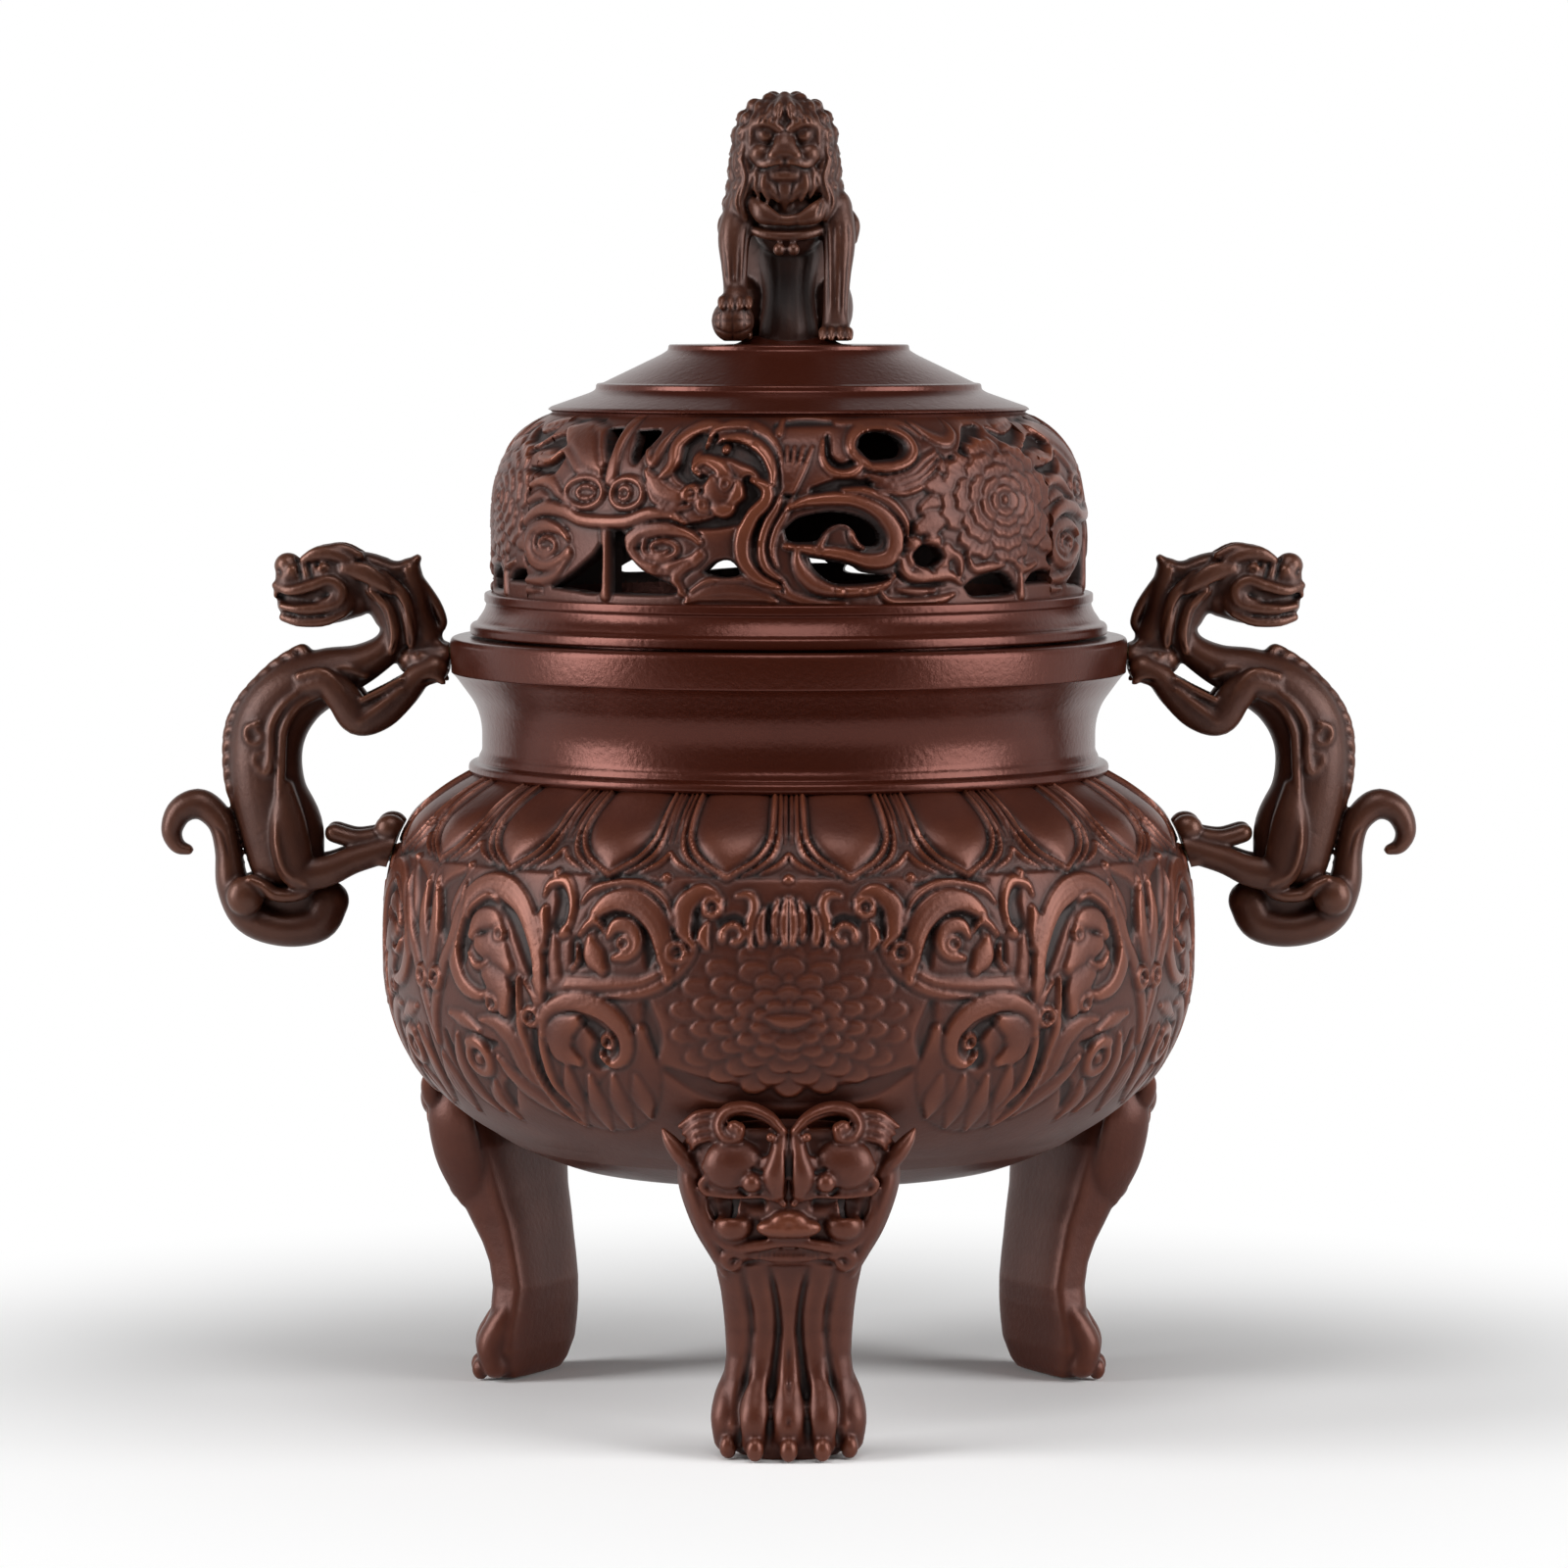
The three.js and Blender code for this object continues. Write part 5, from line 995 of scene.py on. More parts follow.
# Lid: the foot ring.
# Part of one casting with the band and the top: a spigot that drops into the mouth, a rounded bead that
# sits on the rim, and a hollow moulding up to the plain strip under the pierced band.
lid_low, lid_high = (1000 * np.array(corner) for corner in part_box("lid"))
lid_foot_radius = (lid_high[0] - lid_low[0]) / 2
lid_seat = rim_top + 0.3
band_bottom = lid_seat + 10
band_radius = 0.9438 * lid_foot_radius
band_wall = 5.2
spigot = mouth_radius - 0.6
turned("lid_foot", rounded([(spigot, lid_seat - 5, 0.5), (spigot, lid_seat, 0),
    (lid_foot_radius - 1.6, lid_seat, 0.4), (lid_foot_radius, lid_seat + 0.2, 0.5),
    (lid_foot_radius, lid_seat + 2.6, 0.9), (lid_foot_radius - 1.6, lid_seat + 3.2, 0.5),
    (lid_foot_radius - 2.2, lid_seat + 4.2, 0.5), (band_radius + 0.9, lid_seat + 6, 1.2),
    (band_radius + 0.4, lid_seat + 7.7, 0.5), (band_radius + 0.9, lid_seat + 8.2, 0.3),
    (band_radius + 0.9, band_bottom + 0.2, 0.5), (band_radius - 1.2, band_bottom + 0.5, 0.3),
    (band_radius - band_wall, band_bottom + 0.5, 0), (band_radius - band_wall, lid_seat + 2, 2),
    (spigot - 2.6, lid_seat - 1, 1), (spigot - 2.6, lid_seat - 5, 0.5)]), "lid", "lid")

# Lid: the pierced band.
# The steep side of the lid, carved through in the wax: peonies, rolled leaves and cloud scrolls stand
# high over a sunk ground, and smoke leaves through the gaps. The pattern repeats three times.
band_top = band_bottom + 44.2
# heights of the relief count from band_depth behind the band's face; its sunk ground lies at band_ground
band_depth, band_ground = 2.6, 1.3


def band_at(z):
    """Radius of the band's face at height z: a superellipse of power 4.5 about its foot."""
    return band_radius * (1 - np.clip((z - band_bottom) / 49, 0, 1) ** 4.5) ** (1 / 4.5)


panel = Relief(np.linspace(-band_radius * np.pi / 3, band_radius * np.pi / 3, 379),
               np.linspace(0, band_top - band_bottom, 109), band_ground)
# outlines of the vents, in mm across from the panel's middle and up from its foot
vents = [
    [(-66, 3.5), (-58, 3), (-49.6, 2.8), (-48.8, 8), (-48.6, 13.6), (-51, 11.4), (-54, 9.4), (-58, 7),
     (-62, 5.2)],
    [(-45.2, 2.7), (-37, 2.6), (-29, 2.8), (-27.6, 4), (-31, 5.6), (-35, 7.2), (-38.6, 9.8), (-41.2, 13),
     (-42.2, 16.6), (-45, 16.8), (-45.2, 10)],
    [(-54.4, 40.8), (-49.5, 41), (-48.9, 37.6), (-48.9, 34.6), (-51.6, 37.4)],
    [(-44, 40.6), (-36.5, 40.6), (-38.5, 36.5), (-40.3, 33.3), (-42, 34.6), (-42.6, 38)],
    [(-20.5, 8), (-17.6, 10.3), (-14, 10.6), (-11.9, 7.6), (-16, 6.8)],
    [(-1, 18), (2, 20.5), (6, 21.6), (10, 22.1), (14, 21.7), (18, 20.6), (21, 18.6), (22.4, 16),
     (21.4, 14.3), (19.4, 14), (17.2, 14.8), (15.6, 17.6), (13.4, 19.2), (10.6, 18.8), (8.6, 17.2),
     (7.2, 15.6), (4.6, 15.1), (0, 15.4)],
    [(5, 11.4), (9, 10.8), (15.4, 9.5), (18.4, 7.9), (24.3, 7), (23.8, 6), (18, 5.3), (12, 5.3), (9, 6.4),
     (6.2, 8.8)],
    [(18.2, 37), (19.6, 39.4), (22.6, 40.4), (26.6, 40.3), (29.6, 39), (31, 37), (29.4, 34.8), (25.8, 34.2),
     (21, 34.2)],
    [(30.6, 11.5), (32, 13.4), (34.5, 14.1), (37, 13.4), (38.5, 11.5), (37, 9.6), (34.5, 8.9), (32, 9.6)],
    [(45.4, 4), (48, 5.6), (53, 6.9), (57, 7.1), (60, 5.7), (62, 2.6), (57, 1.8), (48, 1.9)],
    [(66.3, 4.4), (69, 6.4), (73, 7.1), (76.6, 6.7), (77.2, 5.4), (77.2, 4.5), (73, 4.4)],
]
# sunk pockets
panel.pockets(
    ([(-20, 39), (-26, 37), (-27.4, 33), (-25, 30), (-20, 29.6)], [1.4, 2.6, 2.8, 2.2, 1], -0.6),
    ([(-22, 36.4), (-15, 36.4), (-9, 34.4), (-6, 31)], [1.4, 2.2, 2.6, 1.4], -0.6),
    ([(-10, 29), (-8.6, 25), (-12, 21.4), (-18, 19.4), (-24, 18.6)], [1.8, 2.4, 2.2, 1.6, 1], -0.6),
    ([(-77.4, 37), (-73, 37.6), (-68.8, 36.6), (-67.6, 33.4), (-71, 31), (-77.4, 31)],
     [1.6, 2, 2.2, 2, 1.6, 1], -0.6),
    ([(77.4, 37), (74, 36.4)], [1.6, 1], -0.6),
    ([(77.4, 31), (74, 31.4)], [1, 0.6], -0.6),
    ([(46, 34), (50, 36.6), (54, 39.6), (59, 41.4)], [1, 2, 2.2, 0.9], -0.7),
    ([(40.6, 31), (44, 33.6), (47.6, 34.6)], [0.8, 1.4, 0.8], -0.5),
    ([(62, 40.6), (67, 38.4), (72, 39), (77.4, 41)], [0.8, 1.6, 1.6, 0.8], -0.5),
    ([(62, 33.6), (68, 34.6), (74, 36)], [0.6, 1.2, 0.8], -0.2),
    ([(10.4, 39.4), (9.8, 35), (12.6, 32.6), (16, 33.4)], [0.9, 1.3, 1.2, 0.8], -0.4),
    ([(6, 27), (12, 28.4), (20, 28.6)], [1.2, 1.6, 1.2], -0.4),
    ([(-6.6, 21), (-7.4, 15), (-5.6, 9)], [0.9, 1.2, 0.6], -0.3),
    ([(-33, 17.6), (-27, 18.6), (-21.6, 16.6)], [0.6, 1, 0.6], -0.2),
    ([(-72, 18.2), (-66, 18.8), (-60, 17)], [0.6, 1, 0.6], -0.2),
    ([(-36.4, 11.4), (-33, 9), (-28, 7.6)], [0.4, 0.8, 0.4], 0.2),
    ([(27.4, 14), (29.6, 16.6), (30.6, 19.6)], [0.6, 1, 0.5], -0.2),
    ([(26, 8), (28.4, 6.4), (32, 5.4), (39, 4.8)], [0.5, 0.9, 0.8, 0.4], -0.3),
    ([(-60, 43), (-66, 42.4), (-76, 43)], [0.6, 0.7, 0.6], 0),
    ([(-4, 42), (4, 42.6), (14, 42.4)], [0.6, 1.2, 0.6], -0.3),
    ([(-77.4, 9.6), (-74, 10)], [1.5, 0.5], -0.8),
    ([(77.4, 9.6), (75.6, 10)], [1.5, 0.5], -0.8))
# bulb leaf, its outline strips, and the crossing post
panel.strap([(-71, 41.2), (-64, 39.4), (-57, 36), (-50.6, 31.4)], [0.8, 3.2, 4.6, 4, 1.4], 2.4, lip=0.25)
panel.strap([(-77.4, 34), (-71, 33.6), (-66.6, 36), (-62, 34.2), (-57, 31), (-49.6, 29.8)],
            [0.5, 1, 1.2, 1.4, 1.3, 0.8], 2)
panel.strap([(-60, 41.8), (-55.4, 40.4), (-52.2, 37), (-49.6, 33)], [0.5, 1, 1.1, 0.8], 2.2)
panel.strap([(-47.2, 43.5), (-47, 36), (-46.8, 29.6)], [1.9, 1.6, 2], 2.1, lip=0.2)
panel.strap([(-47.4, 18), (-47.2, 10), (-47.4, 2)], [1.7, 1.15, 1.7], 1.9, soft=0.8)
# oval curls beside the crossing
for middle, wide, way in ((-55, 6.4, 1), (-41.4, 4.6, -1)):
    line = [(middle + wide * np.cos(a), 26.2 + 3.5 * np.sin(a)) for a in np.radians(np.arange(0, 361, 30))]
    panel.strap(line, [1, 1], 2.1)
    line = [(middle + way * (0.8 + (wide - 2.6) * np.cos(a) * 0.8),
             26.2 + 1.5 * np.sin(a)) for a in np.radians(np.arange(30, 331, 30))]
    panel.strap(line, [0.8, 0.7], 1.9)
panel.strap([(-77.4, 27.4), (-73, 28.6), (-68, 28.2), (-63.4, 25.4), (-60, 23.2)],
            [0.8, 1.5, 1.7, 1.4, 0.6], 2, veins=1)
panel.strap([(-77.4, 23.6), (-72, 25.2), (-67, 23.8)], [0.9, 1.5, 0.6], 1.9, veins=1)
# ribbon that runs through both eyes
panel.strap([(-79, 17.4), (-74, 20.6), (-68, 22.2), (-61, 21.6), (-55, 19.8), (-47, 19.4), (-40, 19.8),
             (-34.6, 21.4), (-29, 21.4), (-25.4, 19.4)], [1.4, 1.7, 1.8, 1.7, 1.6, 1.6, 1.6, 1.8, 1.4, 0.6],
             2.5, lip=0.2, veins=1)
# leaves rolled into the eyes
for middle, wide in ((-67.6, 8.8), (-30.6, 9.6)):
    line = [(middle + wide * np.cos(a), 13.4 + 4.6 * np.sin(a)) for a in np.radians(np.arange(20, 341, 20))]
    panel.strap(line, [0.8, 1.8, 2.2, 2, 1.6], 2.2, lip=0.25, veins=1)
    line = [(middle - 0.6 + (5.4 - 0.9 * k) * np.cos(a), 13.4 + (2.7 - 0.42 * k) * np.sin(a)) for k,
            a in zip(np.linspace(0, 4, 17), np.radians(np.linspace(150, 690, 17)))]
    panel.strap(line, [0.9, 0.9, 0.8, 0.6], 2, groove=0.6)
panel.strap([(-60, 9.6), (-64.4, 6.4), (-70, 5), (-77.4, 4.6)], [0.5, 1.3, 1.5, 1], 1.9, veins=1)
panel.strap([(-77.4, 2.4), (-70, 2.4)], [1.2, 0.4], 1.7)
panel.strap([(-24.4, 9.4), (-27.6, 6.8), (-26.4, 3.6), (-23.4, 1.6)], [1, 1.5, 1.3, 0.4], 2)
panel.bead((-31.4, 8.2), 1.1, 1.8)
# low leaf under the eye, with a strip over it
panel.strap([(-25, 0.8), (-21, 3.2), (-15, 4.2), (-9, 3.6), (-3, 1.2)], [0.8, 2.6, 3, 2.4, 0.6],
            1.9, veins=2, lip=0.2)
panel.strap([(-24, 3.4), (-20, 5.8), (-14.6, 6.6), (-9.6, 6.2), (-3, 3.6), (1, 1)],
            [0.5, 0.9, 1, 1, 0.9, 0.4], 2.1)
# tall curls at the left of the middle
panel.strap([(-34, 28.6), (-29.8, 33), (-29.6, 38), (-25, 41.8), (-18, 42.4)], [0.8, 1.6, 1.9, 1.6, 0.5],
            2.3, veins=1)
panel.strap([(-38, 36.6), (-35.4, 33.2), (-33.6, 37.4), (-31.4, 41.6)], [0.6, 1.3, 1.5, 0.5], 2.1)
panel.strap([(-36.6, 31.6), (-33.4, 27.8), (-29, 25.4), (-24, 26.4)], [0.8, 2.4, 2.4, 0.8], 2.1, lip=0.25)
panel.strap([(-36.4, 28.8), (-33.6, 24.6), (-27.6, 22.8), (-22, 24.2)], [0.4, 0.9, 1, 0.4], 1.9)
panel.curl((-24, 26.4), 1.6, 2.2, 0.8)
# flower of four lobes with a hooked tendril
for spot, size in (((-20.6, 24.0), 2.6), ((-15.8, 23.6), 3.2), ((-13.8, 27.0), 3.2), ((-17.6, 27.6), 3.6)):
    panel.bead(spot, size, 2.3)
panel.strap([(-15, 29.4), (-17.4, 32.6), (-21.6, 34.2), (-24, 32.2), (-22.4, 30.6)],
            [1.7, 1.7, 1.3, 1, 0.6], 2.4, lip=0.15)
panel.curl((-15.4, 28.6), 1.1, 2.5, 0.6)
panel.curl((-20.8, 23.8), 1, 2.4, 0.55)
panel.bead((-16.4, 36.6), 1.3, 1.6)
# arcs over the flower, running down as a stem
panel.strap([(-21.8, 37), (-20, 41.4), (-13, 42.4), (-6.6, 40.8), (-3.2, 37.8), (-2.6, 35.6)],
            [0.5, 0.9, 1.2, 1.3, 1.1, 0.5], 2.3)
panel.strap([(-17.6, 39.2), (-12, 39.2), (-6.6, 36.4), (-4.2, 32.4), (-3.8, 28.6)],
            [0.5, 1.2, 1.5, 1.4, 0.8], 2.4, lip=0.15)
panel.strap([(-9.4, 29.6), (-5.4, 27.8), (-5.6, 24.6), (-8.8, 21), (-11, 16), (-10.8, 11), (-7.6, 7),
             (-2, 4.4)], [0.5, 1.4, 1.8, 1.9, 1.9, 1.7, 1.3, 0.6], 2.6, lip=0.2)
panel.strap([(-1.6, 27), (-3, 23), (-5.4, 19), (-6.6, 14), (-5.4, 9), (-1, 5.8)],
            [0.5, 1.1, 1.3, 1.2, 1.1, 0.5], 2.3)
panel.strap([(1.2, 26), (-1, 21.6), (-3.2, 17.4), (-4, 13), (-2.6, 9)], [0.4, 0.9, 1, 0.9, 0.4], 2.1)
panel.strap([(-9.2, 36.8), (-10.6, 42)], [0.5, 0.4], 1.9)
# ribs that fan out above the middle
for top, wide in ((-2.4, 0.8), (-0.4, 0.8), (1.6, 0.9), (3.8, 0.9), (6.2, 0.8)):
    panel.strap([(top * 0.25 - 0.6, 26.6), (top * 0.5, 31), (top, 37.4)], [0.6, wide, 0.4], 2.2, groove=0.6)
panel.strap([(-2.6, 40.6), (-1.6, 43)], [1.3, 0.7], 2)
# arches over the great eye and its frame
panel.strap([(-0.4, 23), (4, 24.6), (10, 25.2), (16, 24.8), (21.6, 22.4), (25.2, 18.4), (26, 14.6),
             (24.2, 11.4), (19.4, 10.6), (13, 12.2), (6, 13.2), (-1, 14.2)],
             [0.6, 1.3, 1.5, 1.6, 1.9, 2.2, 2.2, 1.9, 1.6, 1.4, 1.2, 0.6], 2.7, lip=0.2)
panel.strap([(13, 27.4), (19.4, 26.8), (25, 24), (28.6, 19.6), (29.2, 15)], [0.5, 1.2, 1.4, 1.2, 0.5], 2.3)
panel.strap([(7.4, 14.2), (8.8, 17.8), (12.2, 19.6), (15, 18.4), (15.6, 16), (17.6, 14)],
            [1, 1, 1, 1, 1.2, 1], 2.4)
panel.bead((15.4, 17.2), 1.1, 2.5)
panel.strap([(1.8, 13.4), (2.4, 9.4), (5.4, 5.6), (10, 3.8), (16, 3.6), (22, 4.4), (26, 7.4)],
            [0.8, 1.7, 1.9, 1.5, 1.4, 1.3, 0.5], 2.4, veins=1)
panel.bead((12.2, 3.4), 1.2, 2.6)
panel.bead((18.4, 3.2), 0.9, 2.4)
panel.strap([(-1.4, 6), (0.6, 2.6), (6, 0.8), (14, 0.6)], [0.5, 1.4, 1.2, 0.4], 2)
# hook leaf at the bottom right of the eye
panel.strap([(22.4, 3.2), (24.4, 1.2), (30, 0.6), (37, 1), (42, 2.6)], [0.6, 1.2, 1.5, 1.4, 0.5], 2.1)
panel.strap([(26.4, 3.8), (31.6, 3.2), (36.6, 3.4)], [0.5, 1.1, 0.5], 1.9)
# small flower with a hole for its heart
for turn in range(0, 360, 60):
    a = np.radians(turn + 15)
    panel.bead((34.5 + 5.3 * np.cos(a), 11.3 + 3.7 * np.sin(a)), 2.5, 2.2)
panel.strap([(27.2, 11), (28.6, 7.6), (33, 6.4), (40, 7), (44, 5)], [0.9, 1.5, 1.4, 1.4, 0.6], 2.2)
# frame of the upper right eye, and ribs swept round it
line = [(24.6 + 8.6 * np.cos(a), 37.3 + 4.9 * np.sin(a)) for a in np.radians(np.arange(0, 361, 20))]
panel.strap(line, [1.35, 1.35], 2.5, lip=0.15)
panel.strap([(21, 33.9), (26, 34.3)], [0.7, 0.7], 1.2)
for drop in range(4):
    panel.strap([(19 + drop, 30.6 - 1.15 * drop), (25 + drop, 29.9 - 1.2 * drop),
                 (31 + drop, 31.3 - 1.1 * drop), (35.4 + drop, 34.2 - 1.1 * drop),
                 (39.4 + drop * 0.6, 36 - 0.9 * drop)], [0.4, 0.75, 0.85, 0.8, 0.5], 2.2, groove=0.6)
panel.strap([(9, 38.6), (8.6, 34.4), (10.8, 31.6), (15, 31), (18, 33), (16.4, 35.2)],
            [0.6, 1, 1.1, 1.1, 1, 0.6], 2.2)
panel.strap([(13, 42.6), (18, 42.8), (26, 43.2), (33, 42.4), (37, 39.4)], [0.5, 0.8, 0.9, 1, 0.5], 2)
panel.strap([(36, 42.8), (39.6, 39.6), (44, 38.4), (47.6, 40.4), (48, 43)], [0.5, 1.4, 1.5, 1.2, 0.5], 2)
# peony: leaves round it, then broad lobed petals in rings up to the full heart
for tip, foot, wide in (((33.6, 22.6), (40, 25), 2.8), ((35.6, 28), (42, 28.6), 2.6),
        ((40, 32.4), (46, 31), 2.6), ((32.4, 18.2), (38.6, 20.4), 3.0), ((76.6, 13), (70, 16), 2.8)):
    panel.strap([tip, ((tip[0] + foot[0]) / 2, (tip[1] + foot[1]) / 2), foot],
                [wide * 0.62, wide, wide * 0.7], 1.9, lip=0.25, groove=0.6)
panel.flower((57.6, 24.2), [(19.6, 15, 8, 100, 2), (15.6, 11.8, 7, 68, 2.25), (11.8, 8.8, 6, 95, 2.45),
    (8.2, 6.2, 5, 60, 2.65), (4.8, 3.8, 4, 90, 2.8)])
panel.bead((57.6, 24.4), 1.3, 2.9)
# post and leaves under the peony
panel.strap([(64, 9), (63.8, 5), (64, 1.4)], [1.6, 1.1, 1.6], 2, soft=0.8)
panel.strap([(45.6, 12), (47.6, 8.4), (52, 8.6), (58, 9)], [0.6, 1.2, 1.2, 0.5], 2)
panel.strap([(60, 10.6), (64.6, 7.8), (70.4, 9)], [0.5, 1.1, 0.5], 2)
panel.strap([(40, 13), (43.4, 10.6), (43.6, 6.4)], [0.7, 1.5, 0.6], 2, veins=1)
panel.strap([(66, 41.6), (71, 42.6), (77.4, 43.4)], [0.5, 1, 0.8], 1.9)
across, up = np.meshgrid(panel.across, panel.up)
gap = np.full(across.shape, 1e9)
for outline in vents:
    edge = smooth_path(outline + outline[:1], 6)
    within = np.zeros(across.shape, bool)
    for (x0, y0), (x1, y1) in zip(edge, edge[1:]):
        within ^= ((y0 > up) != (y1 > up)) & (across < (x1 - x0) * (up - y0) / (y1 - y0 + 1e-12) + x0)
    near = nearest(edge, across, up)[0]
    gap = np.minimum(gap, np.where(within, -near, near))
panel.height = panel.softened(1)
# the edge of each vent is rounded off over its last millimetre
height = panel.height - 1.1 * np.clip(1 - gap, 0, 1) ** 2
raised = np.clip(0.5 + (height - panel.softened(44)) / 1.7, 0, 1)
# the relief runs out into plain strips 0.8 mm wide above and below
frame_fade = np.interp(panel.up, [0, 0.8, 43.4, 44.2], [0, 1, 1, 0])[:, None]
lift = height * frame_fade + 1.2 * (1 - frame_fade) - band_depth
profile = (band_at(band_bottom + panel.up), band_bottom + panel.up, 1.0, 0.0)
# the plugs that cut the vents reach this far in and out of the band's foot; a point that lies deeper
# behind the profile than face_depth belongs to the inside
plug_in, plug_out, face_depth = 26, 6, 4.2


def plug(outline, turn):
    """A prism through the band where a vent goes: its points in mm, and its faces as rows of indices."""
    edge = smooth_path(outline + outline[:1], 4)[:-1]
    if np.sum(edge[:, 0] * np.roll(edge[:, 1], -1) - edge[:, 1] * np.roll(edge[:, 0], -1)) < 0:
        edge = edge[::-1]
    around = edge[:, 0] / band_radius + np.radians(turn)
    rings = [np.column_stack([r * np.sin(around), -r * np.cos(around), band_bottom + edge[:, 1]])
             for r in (band_radius - plug_in, band_radius + plug_out)]
    k, count = np.arange(len(edge)), len(edge)
    after = (k + 1) % count
    return np.vstack(rings), [*np.column_stack([k, after, count + after, count + k]), k[::-1], count + k]


for number, turn in enumerate((0, 120, 240), 1):
    points, faces = wrapped(profile, panel.across / band_radius + np.radians(turn), lift, band_wall, 9)
    openwork = piece(f"lid_band_{number}", points, faces, "lid", "lid", bronze)
    plug_points, plug_faces, start = [], [], 0
    for outline in vents:
        points, faces = plug(outline, turn)
        plug_points.append(points * 0.001)
        plug_faces += [tuple(face + start) for face in faces]
        start += len(points)
    mesh = bpy.data.meshes.new("vents")
    mesh.from_pydata(np.vstack(plug_points), [], plug_faces)
    cutter = bpy.data.objects.new("vents", mesh)
    bpy.context.scene.collection.objects.link(cutter)
    cut = openwork.modifiers.new("vents", "BOOLEAN")
    cut.operation, cut.solver, cut.object = "DIFFERENCE", "MANIFOLD", cutter
    bpy.context.view_layer.update()
    pierced = bpy.data.meshes.new_from_object(openwork.evaluated_get(bpy.context.evaluated_depsgraph_get()))
    openwork.modifiers.clear()
    openwork.data = pierced
    bpy.data.objects.remove(cutter)
    pierced.materials.clear()
    pierced.materials.append(bronze)
    # tone of each point, looked up in the relief; the walls of the vents and the inside are dark
    place = read(pierced.vertices, "co", 3, float) * 1000
    s = np.arctan2(place[:, 0], -place[:, 1]) - np.radians(turn)
    s = (s + np.pi) % (2 * np.pi) - np.pi
    column = np.round((s * band_radius - panel.across[0]) / (panel.across[1] - panel.across[0])).astype(int)
    column = np.clip(column, 0, len(panel.across) - 1)
    row = np.round((place[:, 2] - band_bottom) / (panel.up[1] - panel.up[0])).astype(int)
    row = np.clip(row, 0, len(panel.up) - 1)
    face = np.hypot(place[:, 0], place[:, 1]) - profile[0][row] > -face_depth
    tone = np.where(face, raised[row, column], 0.15)
    pierced.attributes.new("Raised", "FLOAT", "POINT").data.foreach_set("value", tone)
    pierced.set_sharp_from_angle(angle=np.radians(50))
    pierced.name = f"lid_band_{number}"

# Lid: the top.
# The last part of the same casting, turned smooth: a shoulder inside the band, a bead, a low cone up to
# a flat seat, and a small raised boss there that the lion stands on.
crown_top = lid_high[2]
top_at = crown_top - 2.2
top_radius = 0.376 * lid_foot_radius
top = rounded([(band_at(band_top) - band_wall, band_top - 0.4, 0),
               (band_at(band_top) - 1.3, band_top - 0.4, 0.2), (band_at(band_top) - 1, band_top + 0.5, 0.4),
               (58.9, band_top + 0.7, 0.3), (58.2, band_top + 1.4, 0.5), (48.2, band_top + 4.9, 1),
               (47.2, band_top + 5.6, 0.4), (47, band_top + 7, 0.5), (45.4, band_top + 7.2, 0.4),
               (top_radius + 1.2, top_at - 2.2, 1.5), (top_radius + 0.2, top_at - 1.4, 0.4),
               (top_radius, top_at - 0.1, 0.5), (13, top_at, 1), (9, crown_top - 0.2, 1.5),
               (0, crown_top, 0), (0, top_at - 4, 0), (26, top_at - 4.6, 2), (46, band_top + 2.4, 2),
               (57.4, band_top - 2.4, 2)])
pole = [k for k, (r, z) in enumerate(top) if r < 1e-6]
turned("lid_top", np.vstack([top[pole[1]:], top[:pole[0] + 1]]), "lid", "lid")

# Knob: a seated lion.
# A casting of its own on a small mound, drawn tight by a screw through the lid's top. It faces the
# front with a ball under one forepaw, a collar with two bells, and a mane of snail curls down its back.
lion_low, lion_high = (1000 * np.array(corner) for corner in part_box("lion_finial"))
lion_foot = lion_low[2]
head_at = (-1, 0, 0)


